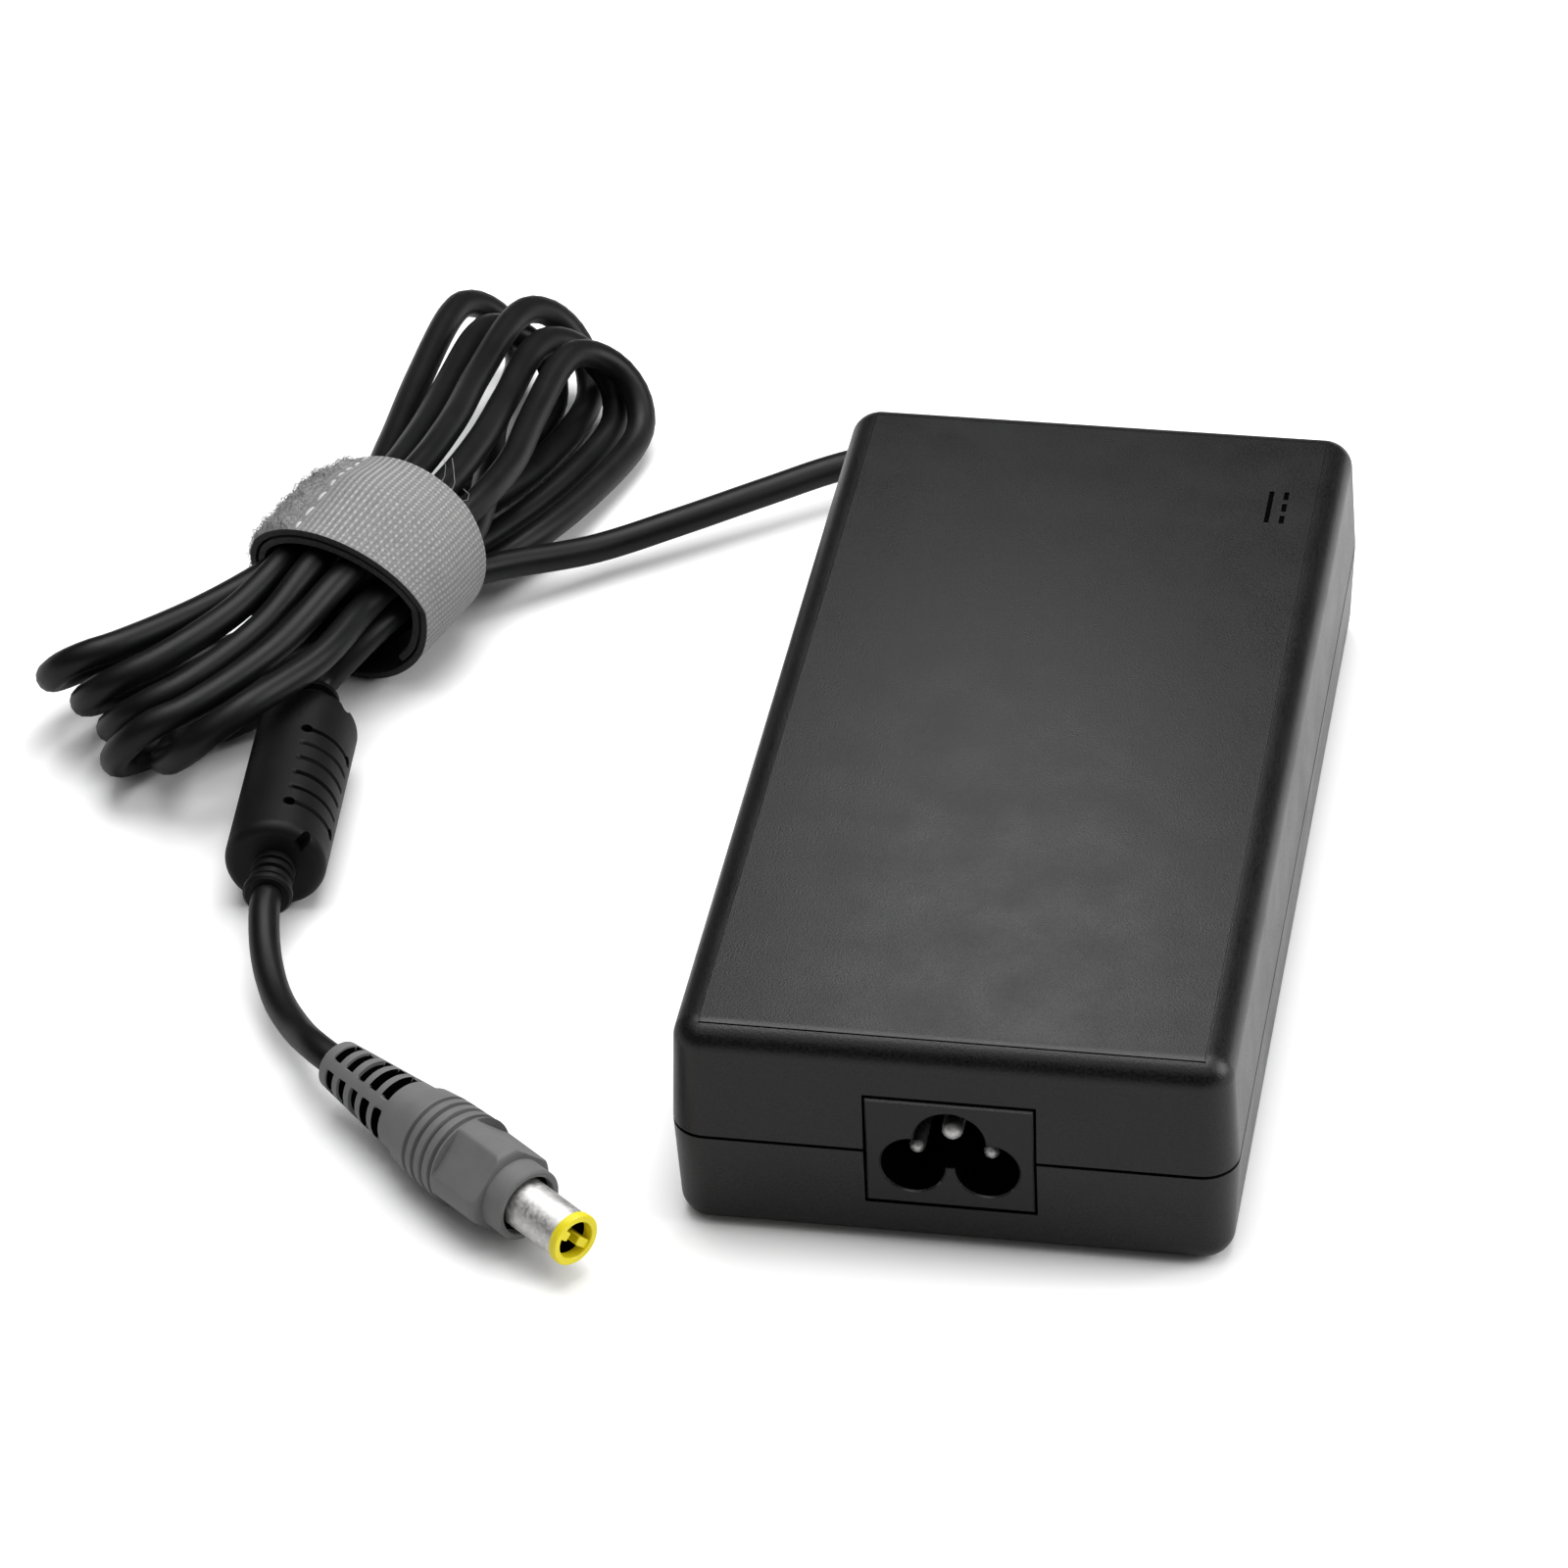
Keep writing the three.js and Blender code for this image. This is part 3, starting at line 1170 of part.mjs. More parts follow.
const FIRST_RUN_STEPS = 22;
const hankEntry = straightOn(hank[0], hank[1], CLEARANCE);
const firstRun = [
  [0, reliefTip + CLEARANCE, EXIT_HEIGHT],
  [0, reliefTip + CLEARANCE + CORD_DIAMETER, EXIT_HEIGHT],
  [-3.5, 114.9, 11],
  [-11.5, 117.9, 8.7],
  [-23.5, 117.6, 7.9],
  [-36, 114, 7.7],
  [-48.8, 107.5, 7.4],
  [-60, 99.6, 6.8],
  [-74, 89.4, 6],
  [-86, 80.7, 5.7],
  straightOn(hank[0], hank[1], CLEARANCE + CORD_DIAMETER).toArray(),
  hankEntry.toArray(),
];
add('cord_first_run', tube(firstRun, cordRadius, CORD_SIDES, FIRST_RUN_STEPS), 'cord_rubber');

// ---------------------------------------------------------------- plug

const PLUG_START = [-97.5, -63];
const PLUG_HEADING = (-39.3 * Math.PI) / 180;
const PLUG_HEIGHT = 7.6;
const PLUG_SIDES = 24;
const BOOT_START_RADIUS = 4;
const BOOT_END_RADIUS = 5.9;
const BOOT_END = 19.5;
const BOOT_SLOTS = 5;
const BOOT_SLOT_PITCH = 3.24;
const BOOT_SLOT_WIDTH = 1.6;
const BOOT_FIRST_SLOT = 3.2;
const BOOT_SPINE_WIDTH = 2;
const BOOT_CORE_RADIUS = 2.8;
const RING_ZONE_START = 21;
const RING_ZONE_START_RADIUS = 6.6;
const RING_ZONE_RADIUS = 7;
const FIRST_RING_GROOVE = 24.8;
const RING_GROOVES = 4;
const RING_GROOVE_PITCH = 2.13;
const RING_GROOVE_DEPTH = 0.7;
const RING_GROOVE_WIDTH = 0.6;
const GRIP_START = 32.4;
const GRIP_RADIUS = 7.5;
const GRIP_END = 42.2;
const GRIP_ROUNDING = 1;
const GRIP_FLAT_DISTANCE = 6.3;
const COLLAR_RADIUS = 5.8;
const COLLAR_END = 46.2;
const BARREL_RADIUS = 3.95;
const BARREL_WALL = 0.6;
const BARREL_END = 55.7;
const BARREL_ROOT = 40;
const TIP_THICKNESS = 1.1;
const TIP_RADIUS = 4.2;
const TIP_BORE_RADIUS = 2.8;
const TIP_BORE_DEPTH = 8;
const KEY_WIDTH = 1.4;
const KEY_TURN = -Math.PI / 4; // from the plug's side towards its top
const SHORT_KEY_REACH = 1.5; // from the plug's axis
const LONG_KEY_REACH = 0.75;
const LONG_KEY_RECESS = 1;
const CENTRE_PIN_RADIUS = 0.4;
const CENTRE_PIN_RECESS = 3;

const plugWay = [Math.cos(PLUG_HEADING), Math.sin(PLUG_HEADING), 0];

function plugAt(along) {
  return [PLUG_START[0] + plugWay[0] * along, PLUG_START[1] + plugWay[1] * along, PLUG_HEIGHT];
}

/** Puts a geometry made along +Z, with its +X side up, on the plug's axis. */
function onPlug(geometry) {
  const way = new THREE.Vector3(...plugWay);
  const up = new THREE.Vector3(0, 0, 1);
  const side = new THREE.Vector3().crossVectors(way, up);
  return geometry.applyMatrix4(new THREE.Matrix4().makeBasis(up, side, way)).translate(...plugAt(0));
}

function plugTurned(profile) {
  const points = profile.map(([radius, along]) => new THREE.Vector2(radius, along));
  return onPlug(new THREE.LatheGeometry(points, PLUG_SIDES).rotateX(Math.PI / 2));
}

function plugBody() {
  const profile = [
    [0, 0],
    [BOOT_START_RADIUS, 0],
    [BOOT_END_RADIUS, BOOT_END],
    [RING_ZONE_START_RADIUS - 0.3, RING_ZONE_START - 0.3],
    [RING_ZONE_START_RADIUS, RING_ZONE_START],
  ];
  for (let i = 0; i < RING_GROOVES; i++) {
    const from = FIRST_RING_GROOVE + i * RING_GROOVE_PITCH;
    const to = from + RING_GROOVE_WIDTH;
    const radius = RING_ZONE_RADIUS + 0.1 * (i + 1);
    profile.push([radius, from], [radius - RING_GROOVE_DEPTH, from + 0.05]);
    profile.push([radius - RING_GROOVE_DEPTH, to], [radius, to + 0.05]);
  }
  profile.push(
    [RING_ZONE_RADIUS + 0.1 * RING_GROOVES, GRIP_START - 0.4],
    [GRIP_RADIUS, GRIP_START],
    [GRIP_RADIUS, GRIP_END - GRIP_ROUNDING],
    [GRIP_RADIUS - 0.3 * GRIP_ROUNDING, GRIP_END - 0.3 * GRIP_ROUNDING],
    [GRIP_RADIUS - GRIP_ROUNDING, GRIP_END],
    [COLLAR_RADIUS, GRIP_END],
    [COLLAR_RADIUS, COLLAR_END],
    [BARREL_RADIUS + CLEARANCE, COLLAR_END],
    [BARREL_RADIUS + CLEARANCE, BARREL_ROOT - CLEARANCE],
    [0, BARREL_ROOT - CLEARANCE],
  );
  return cut(plugTurned(profile), ...bootSlots(), ...gripFlats());
}

/** Four rows of slots in the boot, one row on each side, that leave four spines. */
function bootSlots() {
  const slots = [];
  for (let i = 0; i < BOOT_SLOTS; i++) {
    const middle = BOOT_FIRST_SLOT + i * BOOT_SLOT_PITCH;
    const [from, to] = [middle - BOOT_SLOT_WIDTH / 2, middle + BOOT_SLOT_WIDTH / 2];
    const [inner, outer] = [BOOT_CORE_RADIUS, BOOT_END_RADIUS + 1];
    const outline = [[inner, from], [outer, from], [outer, to], [inner, to], [inner, from]];
    const points = outline.map(([radius, along]) => new THREE.Vector2(radius, along));
    const ring = new THREE.LatheGeometry(points, PLUG_SIDES).rotateX(Math.PI / 2);
    const spines = [45, 135].map((degrees) =>
      new THREE.BoxGeometry(4 * outer, BOOT_SPINE_WIDTH, BOOT_SLOT_WIDTH + 2)
        .translate(0, 0, middle)
        .rotateZ((degrees * Math.PI) / 180),
    );
    slots.push(onPlug(cut(ring, ...spines)));
  }
  return slots;
}

function gripFlats() {
  return [45, 135, 225, 315].map((degrees) => {
    const slab = new THREE.BoxGeometry(GRIP_RADIUS, 3 * GRIP_RADIUS, GRIP_END - GRIP_START + 2);
    slab.translate(GRIP_FLAT_DISTANCE + GRIP_RADIUS / 2, 0, (GRIP_START + GRIP_END + 2) / 2);
    return onPlug(slab.rotateZ((degrees * Math.PI) / 180));
  });
}

/** The insulator fills the barrel, stands out of it as a rim, and has two keys across its bore. */
function tipInsulator() {
  const sleeve = BARREL_RADIUS - BARREL_WALL - CLEARANCE;
  const rimStart = BARREL_END + CLEARANCE;
  const rimEnd = rimStart + TIP_THICKNESS;
  const boreStart = rimEnd - TIP_BORE_DEPTH;
  const pinBore = CENTRE_PIN_RADIUS + CLEARANCE;
  const body = plugTurned([
    [pinBore, BARREL_ROOT],
    [sleeve, BARREL_ROOT],
    [sleeve, rimStart],
    [TIP_RADIUS, rimStart],
    [TIP_RADIUS, rimEnd],
    [TIP_BORE_RADIUS, rimEnd],
    [TIP_BORE_RADIUS, boreStart],
    [pinBore, boreStart],
    [pinBore, BARREL_ROOT],
  ]);
  const key = (side, reach, recess) => {
    const [from, to] = [boreStart - 0.2, rimEnd - recess];
    const bar = new THREE.BoxGeometry(KEY_WIDTH, sleeve - reach - 0.1, to - from);
    bar.translate(0, (side * (sleeve + reach - 0.1)) / 2, (from + to) / 2);
    return onPlug(bar.rotateZ(KEY_TURN));
  };
  return joined(body, key(1, SHORT_KEY_REACH, 0.2), key(-1, LONG_KEY_REACH, LONG_KEY_RECESS));
}

add('plug_body', plugBody(), 'grey_plastic');
const barrelInner = BARREL_RADIUS - BARREL_WALL;
const barrelLength = BARREL_END - BARREL_ROOT;
const barrel = pipe(BARREL_RADIUS, barrelInner, barrelLength, PLUG_SIDES, plugAt(BARREL_ROOT), plugWay);
add('plug_barrel', barrel, 'nickel');
add('plug_tip_insulator', tipInsulator(), 'yellow_plastic');
add(
  'plug_centre_pin',
  rod(CENTRE_PIN_RADIUS, BARREL_END - CENTRE_PIN_RECESS - BARREL_ROOT, 8, plugAt(BARREL_ROOT), plugWay),
  'nickel',
);

// ---------------------------------------------------------------- cord from the hank to the plug

const TAIL_STEPS = 46;
const onFerrite = (share) => ferriteTop.clone().lerp(ferriteFoot, share).toArray();
const hankExit = straightOn(hank.at(-1), hank.at(-2), CLEARANCE);
const tail = [
  hankExit.toArray(),
  straightOn(hank.at(-1), hank.at(-2), CLEARANCE + CORD_DIAMETER).toArray(),
  onFerrite(-0.05),
  onFerrite(0),
  onFerrite(0.3),
  onFerrite(0.5),
  onFerrite(0.7),
  onFerrite(1),
  onFerrite(1.05),
  [-115.4, -35.6, 6],
  [-111.6, -44.6, 4.8],
  [-106.6, -52.6, 5.4],
  plugAt(-CLEARANCE - CORD_DIAMETER),
  plugAt(-CLEARANCE),
];
add('cord_tail', tube(tail, cordRadius, CORD_SIDES, TAIL_STEPS), 'cord_rubber');

export default part;
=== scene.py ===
"""A laptop power adapter: a black moulded housing with a mains inlet, and an output cord that is tied
in a hank and ends in a ferrite moulding and a barrel plug. Sizes are in millimetres, and become metres
when a mesh is made."""

import math

import bmesh
import bpy
import numpy as np
from mathutils import Matrix, Vector, noise


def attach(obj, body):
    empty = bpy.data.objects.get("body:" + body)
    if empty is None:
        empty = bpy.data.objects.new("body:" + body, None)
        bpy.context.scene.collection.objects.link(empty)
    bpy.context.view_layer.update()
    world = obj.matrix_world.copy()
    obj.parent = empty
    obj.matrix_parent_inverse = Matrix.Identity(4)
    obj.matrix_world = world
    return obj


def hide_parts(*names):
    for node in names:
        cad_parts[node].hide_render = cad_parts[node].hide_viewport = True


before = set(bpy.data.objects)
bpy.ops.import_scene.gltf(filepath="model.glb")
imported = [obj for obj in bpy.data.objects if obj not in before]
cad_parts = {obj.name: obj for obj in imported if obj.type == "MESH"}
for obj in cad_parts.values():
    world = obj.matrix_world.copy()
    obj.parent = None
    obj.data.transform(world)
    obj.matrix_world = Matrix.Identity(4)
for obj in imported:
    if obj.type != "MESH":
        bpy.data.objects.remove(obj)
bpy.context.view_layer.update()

# ---------------------------------------------------------------- camera
# A long lens looks down at the near end, from a little to the right of the housing's middle.

CAMERA_PLACE = (129.895, -835.6, 643.804)
CAMERA_PAN = math.radians(11.4468)
CAMERA_TILT = math.radians(53.7861)
CAMERA_ROLL = math.radians(-2.5898)
CAMERA_LENS = 154.937
CAMERA_SENSOR = 36
MM = 0.001


def added(name, data):
    """An object in the scene that shows a mesh, a curve, a lamp or a camera."""
    obj = bpy.data.objects.new(name, data)
    bpy.context.collection.objects.link(obj)
    return obj


camera = added("camera", bpy.data.cameras.new("camera"))
camera.data.lens = CAMERA_LENS
camera.data.sensor_width = CAMERA_SENSOR
pan_and_tilt = Matrix.Rotation(CAMERA_PAN, 4, "Z") @ Matrix.Rotation(CAMERA_TILT, 4, "X")
roll = Matrix.Rotation(CAMERA_ROLL, 4, "Z")
camera.matrix_world = Matrix.Translation(Vector(CAMERA_PLACE) * MM) @ pan_and_tilt @ roll
bpy.context.scene.camera = camera

# ---------------------------------------------------------------- output cord
# A round two-wire lead in a satin black sheath, drawn over its wires in one extrusion. It leaves the
# housing's far end, is wound to and fro through the strap, and goes on through the ferrite moulding
# to the plug.

CORD_DIAMETER = 4.9
EXIT_HEIGHT = 13.5
FAR_FACE = 85
RELIEF_LENGTH = 20
WAIST = (-118.5, 56)  # the strap's middle, in plan
WAIST_HEADING = math.radians(64)
WAIST_HEIGHT = 16.15
BUNDLE_RADIUS = 10.2  # of the ring that the strands' middles make at the waist
LOOPS = 5
FOLD_RADIUS = 9.6
POINTS_A_FOLD = 6
BEND_AT_WAIST = math.radians(38)
BEND_HALF_LENGTH = 34
LOWER_LEAN = math.radians(46)
UPPER_LEAN = math.radians(-42)
LOWER_REACH = (40, 48, 44, 45, 47)
UPPER_REACH = (64, 68, 74, 71, 78)
LOWER_FAN = (13.5, 7.5, -1.5, -8.5, -14.5)
UPPER_FAN = (9.5, 5, 0.5, -4.5, -10)
LOWER_LIFT = (3.5, 0, 1, 2, 3)
UPPER_RING_ANGLES = (28, 61, 94, 127, 160)
LOWER_RING_ANGLES = (-38, -71, -103, -135, -168)
LAST_RING_ANGLE = -5
LAST_RUN_DROP = 2
FLOOR_CLEARANCE = 0.15
STRAP_MOUTH = 12
SETTLE_ROUNDS = 240
SETTLE_GAP = 1.2
SETTLE_EVENNESS = 0.5
SETTLE_STEPS_APART = 3  # along the cord, between the runs that push each other
SAMPLES_A_STEP = 4
FERRITE_TOP = (-122.2, 28.8, 8.3)
FERRITE_FOOT = (-117.7, -24.3, 8.3)
FERRITE_BODY_RADIUS = 8.1
FERRITE_BOOT_LENGTH = 7.5
FERRITE_BOOT_RADIUS = 3.5
PLUG_START = (-97.5, -63)
PLUG_HEADING = math.radians(-39.3)
PLUG_HEIGHT = 7.6
CURVE_POINTS_A_SPAN = 16
CORD_STEP = 2
CORD_RING_RESOLUTION = 5
PATCH_DETAIL = 4
PATCH_SPAN = (0.3, 0.7)  # of the noise, from the one tone to the other
GRAIN_DETAIL = 1.5
GRAIN_SPAN = (0.35, 0.65)

cord_radius = CORD_DIAMETER / 2
ferrite_top = np.array(FERRITE_TOP, float)
ferrite_foot = np.array(FERRITE_FOOT, float)
ferrite_length = float(np.linalg.norm(ferrite_foot - ferrite_top))
ferrite_way = (ferrite_foot - ferrite_top) / ferrite_length
plug_way = np.array((math.cos(PLUG_HEADING), math.sin(PLUG_HEADING), 0))


def smooth(share):
    t = min(max(share, 0), 1)
    return t * t * (3 - 2 * t)


def hank_point(along, slot):
    """A point beside and above the hank's line, which bends in plan about the strap."""
    bend_radius = 2 * BEND_HALF_LENGTH / BEND_AT_WAIST
    bent = min(max(along, -BEND_HALF_LENGTH), BEND_HALF_LENGTH)
    heading = WAIST_HEADING + bent / bend_radius
    straight = along - bent
    x = WAIST[0] + bend_radius * (math.sin(heading) - math.sin(WAIST_HEADING)) + straight * math.cos(heading)
    y = WAIST[1] - bend_radius * (math.cos(heading) - math.cos(WAIST_HEADING)) + straight * math.sin(heading)
    side, height = slot
    return (x + side * math.sin(heading), y - side * math.cos(heading), height)


def ring_slot(degrees):
    angle = math.radians(degrees)
    return (BUNDLE_RADIUS * math.cos(angle), WAIST_HEIGHT + BUNDLE_RADIUS * math.sin(angle))


def fold_slot(fan, lean, lift, level):
    """The place across the hank of a point on a loop's fold, from its foot at -1 to its top at 1."""
    middle = cord_radius + FLOOR_CLEARANCE + FOLD_RADIUS * math.cos(lean) + lift
    return (fan + level * FOLD_RADIUS * math.sin(lean), middle + level * FOLD_RADIUS * math.cos(lean))


def lower_fold(loop, level):
    return fold_slot(LOWER_FAN[loop], LOWER_LEAN, LOWER_LIFT[loop], level)


def upper_fold(loop, level):
    return fold_slot(UPPER_FAN[loop], UPPER_LEAN, 0, level)


def run_points(start, stop, waist_slot, upper_end, lower_end):
    """A run between two ends through its slot at the waist. Its last point is left to the next fold."""
    top, foot = max(start, stop), min(start, stop)
    shares = (1, 2 / 3, 1 / 3) if top > STRAP_MOUTH else ()
    stops = [STRAP_MOUTH + (top - STRAP_MOUTH) * share for share in shares]
    stops += [STRAP_MOUTH, -STRAP_MOUTH]
    stops += [(foot - STRAP_MOUTH) / 2] if foot < -STRAP_MOUTH else []
    if start < stop:
        stops = [start] + stops[:0:-1]
    points = []
    for along in stops:
        reach, slot = upper_end if along > 0 else lower_end
        share = smooth(abs(along) / reach)
        points.append(hank_point(along, [w + (s - w) * share for w, s in zip(waist_slot, slot)]))
    return points


def fold_points(reach, outwards, slot_at):
    angles = [i / POINTS_A_FOLD * math.pi for i in range(POINTS_A_FOLD)]
    return [hank_point(outwards * (reach + FOLD_RADIUS * math.sin(a)), slot_at(math.cos(a))) for a in angles]


def hank_route():
    """The points of the hank in the order in which the cord passes them."""
    route = []
    for loop in range(LOOPS):
        came = max(loop - 1, 0)
        start = UPPER_REACH[came] if loop else STRAP_MOUTH
        low, high = LOWER_REACH[loop], UPPER_REACH[loop]
        arriving = (UPPER_REACH[came], upper_fold(came, -1))
        turning = (low, lower_fold(loop, -1))
        route += run_points(start, -low, ring_slot(LOWER_RING_ANGLES[loop]), arriving, turning)
        route += fold_points(low, -1, lambda level: lower_fold(loop, -level))
        starting = (low, lower_fold(loop, 1))
        returning = (high, upper_fold(loop, 1))
        route += run_points(-low, high, ring_slot(UPPER_RING_ANGLES[loop]), returning, starting)
        route += fold_points(high, 1, lambda level: upper_fold(loop, level))
    side, height = ring_slot(LAST_RING_ANGLE)
    last = (UPPER_REACH[-1], upper_fold(LOOPS - 1, -1))
    leaving = (STRAP_MOUTH, (side, height - LAST_RUN_DROP))
    route += run_points(UPPER_REACH[-1], -STRAP_MOUTH, (side, height), last, leaving)
    return np.array(route)


def clear_of_ferrite(at):
    """How far each point must move to clear the ferrite moulding."""
    along = (at - ferrite_top) @ ferrite_way
    radius = np.where(along < FERRITE_BOOT_LENGTH - CORD_DIAMETER, FERRITE_BOOT_RADIUS, FERRITE_BODY_RADIUS)
    away = at - ferrite_top - along[:, None] * ferrite_way
    distance = np.linalg.norm(away, axis=1)
    beside = (along >= -CORD_DIAMETER) & (along <= ferrite_length)
    lack = np.where(beside, radius + cord_radius + SETTLE_GAP - distance, 0)
    return away / distance[:, None] * np.maximum(lack, 0)[:, None]


def keep_in_strap(route):
    """Draws the points that are between the strap's edges back inside the bundle."""
    way = np.array((math.cos(WAIST_HEADING), math.sin(WAIST_HEADING)))
    right = np.array((way[1], -way[0]))
    offset = route[:, :2] - np.array(WAIST)
    side = offset @ right
    rise = route[:, 2] - WAIST_HEIGHT
    out = np.hypot(side, rise)
    inside = (abs(offset @ way) <= STRAP_MOUTH + cord_radius) & (out > BUNDLE_RADIUS)
    back = np.where(inside, 1 - BUNDLE_RADIUS / np.maximum(out, BUNDLE_RADIUS), 0)
    route[:, :2] -= (side * back)[:, None] * right
    route[:, 2] -= rise * back


def settled(start):
    """Lets the runs push each other apart until a diameter and a gap lie between their middles."""
    wanted = CORD_DIAMETER + SETTLE_GAP
    first = np.repeat(np.arange(len(start) - 1), SAMPLES_A_STEP)
    share = np.tile(np.arange(SAMPLES_A_STEP) / SAMPLES_A_STEP, len(start) - 1)[:, None]
    apart_enough = first[None, :] - first[:, None] >= SETTLE_STEPS_APART
    route = start.copy()
    for turn in range(SETTLE_ROUNDS):
        push = np.zeros_like(route)
        weight = np.zeros(len(route))

        def pushed(samples, by):
            for ahead, part in ((0, 1 - share[samples]), (1, share[samples])):
                np.add.at(push, first[samples] + ahead, by * part)
                np.add.at(weight, first[samples] + ahead, part[:, 0])

        at = route[first] * (1 - share) + route[first + 1] * share
        distance = np.linalg.norm(at[:, None] - at[None], axis=2)
        a, b = np.nonzero(apart_enough & (distance < wanted))
        apart = distance[a, b][:, None]
        away = (at[b] - at[a]) * (wanted - apart) / 2 / np.maximum(apart, 0.01)
        pushed(a, -away)
        pushed(b, away)
        off = clear_of_ferrite(at)
        near = np.nonzero(np.linalg.norm(off, axis=1) > 0)[0]
        pushed(near, off[near])
        moved = route - start + push / np.maximum(weight, 1e-9)[:, None]
        even = moved.copy()
        even[1:-1] = (2 * moved[1:-1] + moved[:-2] + moved[2:]) / 4
        evenness = SETTLE_EVENNESS * (1 - turn / SETTLE_ROUNDS)
        route[1:-1] = (start + moved + (even - moved) * evenness)[1:-1]
        route[:, 2] = np.maximum(route[:, 2], cord_radius + FLOOR_CLEARANCE)
        keep_in_strap(route)
    return route


def curve_through(points, step):
    """Points at even steps on a smooth curve, whose knots are spaced by the root of the distance."""
    points = np.array(points, float)
    padded = np.vstack((2 * points[0] - points[1], points, 2 * points[-1] - points[-2]))
    curve = []
    for p0, p1, p2, p3 in zip(padded, padded[1:], padded[2:], padded[3:]):
        d1, d2, d3 = (max(math.sqrt(np.linalg.norm(q - p)), 1e-3) for p, q in ((p0, p1), (p1, p2), (p2, p3)))
        m1 = (p1 - p0) / d1 - (p2 - p0) / (d1 + d2) + (p2 - p1) / d2
        m2 = (p2 - p1) / d2 - (p3 - p1) / (d2 + d3) + (p3 - p2) / d3
        t = np.linspace(0, 1, CURVE_POINTS_A_SPAN + 1)[:-1, None]
        a = 2 * p1 - 2 * p2 + (m1 + m2) * d2
        b = -3 * p1 + 3 * p2 - (2 * m1 + m2) * d2
        curve.append(a * t**3 + b * t**2 + m1 * d2 * t + p1)
    curve = np.vstack(curve + [points[-1:]])
    travelled = np.concatenate(([0], np.cumsum(np.linalg.norm(np.diff(curve, axis=0), axis=1))))
    stops = np.linspace(0, travelled[-1], int(travelled[-1] / step) + 1)
    return np.column_stack([np.interp(stops, travelled, curve[:, k]) for k in range(3)])


def plug_at(along):
    return (PLUG_START[0] + plug_way[0] * along, PLUG_START[1] + plug_way[1] * along, PLUG_HEIGHT)


def on_ferrite(share):
    return tuple(ferrite_top + (ferrite_foot - ferrite_top) * share)


first_run = [
    (0, FAR_FACE + RELIEF_LENGTH - 2, EXIT_HEIGHT),
    (0, FAR_FACE + RELIEF_LENGTH + CORD_DIAMETER, EXIT_HEIGHT),
    (-3.5, 114.9, 11),
    (-11.5, 117.9, 8.7),
    (-23.5, 117.6, 7.9),
    (-36, 114, 7.7),
    (-48.8, 107.5, 7.4),
    (-60, 99.6, 6.8),
    (-74, 89.4, 6),
    (-86, 80.7, 5.7),
]
last_run = [
    on_ferrite(-0.05),
    on_ferrite(0),
    on_ferrite(0.3),
    on_ferrite(0.5),
    on_ferrite(0.7),
    on_ferrite(1),
    on_ferrite(1.05),
    (-115.4, -35.6, 6),
    (-111.6, -44.6, 4.8),
    (-106.6, -52.6, 5.4),
    plug_at(-CORD_DIAMETER),
    plug_at(2),
]
hank = settled(hank_route())
cord_line = curve_through(first_run + [tuple(point) for point in hank] + last_run, CORD_STEP)


def feed(tree, entry, term):
    """Gives a node's input a number or another node's output."""
    if isinstance(term, (int, float)):
        entry.default_value = term
    else:
        tree.links.new(term, entry)


def worked(tree, operation, *terms):
    """The result of a maths node, whose terms are numbers or other nodes' outputs."""
    node = tree.nodes.new("ShaderNodeMath")
    node.operation = operation
    for entry, term in zip(node.inputs, terms):
        feed(tree, entry, term)
    return node.outputs[0]


def ramped(tree, value, low, high, start=0, end=1):
    """How far a value is from low to high, given between start and end, which may be outputs too."""
    node = tree.nodes.new("ShaderNodeMapRange")
    sockets = ("Value", "From Min", "From Max", "To Min", "To Max")
    for name, term in zip(sockets, (value, low, high, start, end)):
        feed(tree, node.inputs[name], term)
    return node.outputs["Result"]


def moulded_surface():
    """The group behind the materials: two tones in soft patches and fine specks, a grain and a roughness."""
    group = bpy.data.node_groups.new("moulded surface", "ShaderNodeTree")
    for name in ("Colour", "Second Colour"):
        group.interface.new_socket(name, in_out="INPUT", socket_type="NodeSocketColor")
    for name in ("Patch Scale", "Grain Scale", "Speckle", "Least Roughness", "Most Roughness"):
        group.interface.new_socket(name, in_out="INPUT", socket_type="NodeSocketFloat")
    group.interface.new_socket("Colour", in_out="OUTPUT", socket_type="NodeSocketColor")
    for name in ("Roughness", "Height"):
        group.interface.new_socket(name, in_out="OUTPUT", socket_type="NodeSocketFloat")
    nodes, links = group.nodes, group.links
    entry = nodes.new("NodeGroupInput")
    leave = nodes.new("NodeGroupOutput")
    place = nodes.new("ShaderNodeTexCoord")
    patches = nodes.new("ShaderNodeTexNoise")
    patches.inputs["Detail"].default_value = PATCH_DETAIL
    grain = nodes.new("ShaderNodeTexNoise")
    grain.inputs["Detail"].default_value = GRAIN_DETAIL
    for texture, scale in ((patches, "Patch Scale"), (grain, "Grain Scale")):
        links.new(place.outputs["Object"], texture.inputs["Vector"])
        links.new(entry.outputs[scale], texture.inputs["Scale"])
    patched = ramped(group, patches.outputs["Fac"], *PATCH_SPAN)
    specked = ramped(group, grain.outputs["Fac"], *GRAIN_SPAN)
    blend = ramped(group, entry.outputs["Speckle"], 0, 1, patched, specked)
    tone = nodes.new("ShaderNodeMix")
    tone.data_type = "RGBA"
    links.new(blend, tone.inputs["Factor"])
    links.new(entry.outputs["Colour"], tone.inputs["A"])
    links.new(entry.outputs["Second Colour"], tone.inputs["B"])
    both = worked(group, "MULTIPLY", worked(group, "ADD", patched, specked), 0.5)
    roughness = ramped(group, both, 0, 1, entry.outputs["Least Roughness"], entry.outputs["Most Roughness"])
    links.new(tone.outputs["Result"], leave.inputs["Colour"])
    links.new(roughness, leave.inputs["Roughness"])
    links.new(grain.outputs["Fac"], leave.inputs["Height"])
    return group


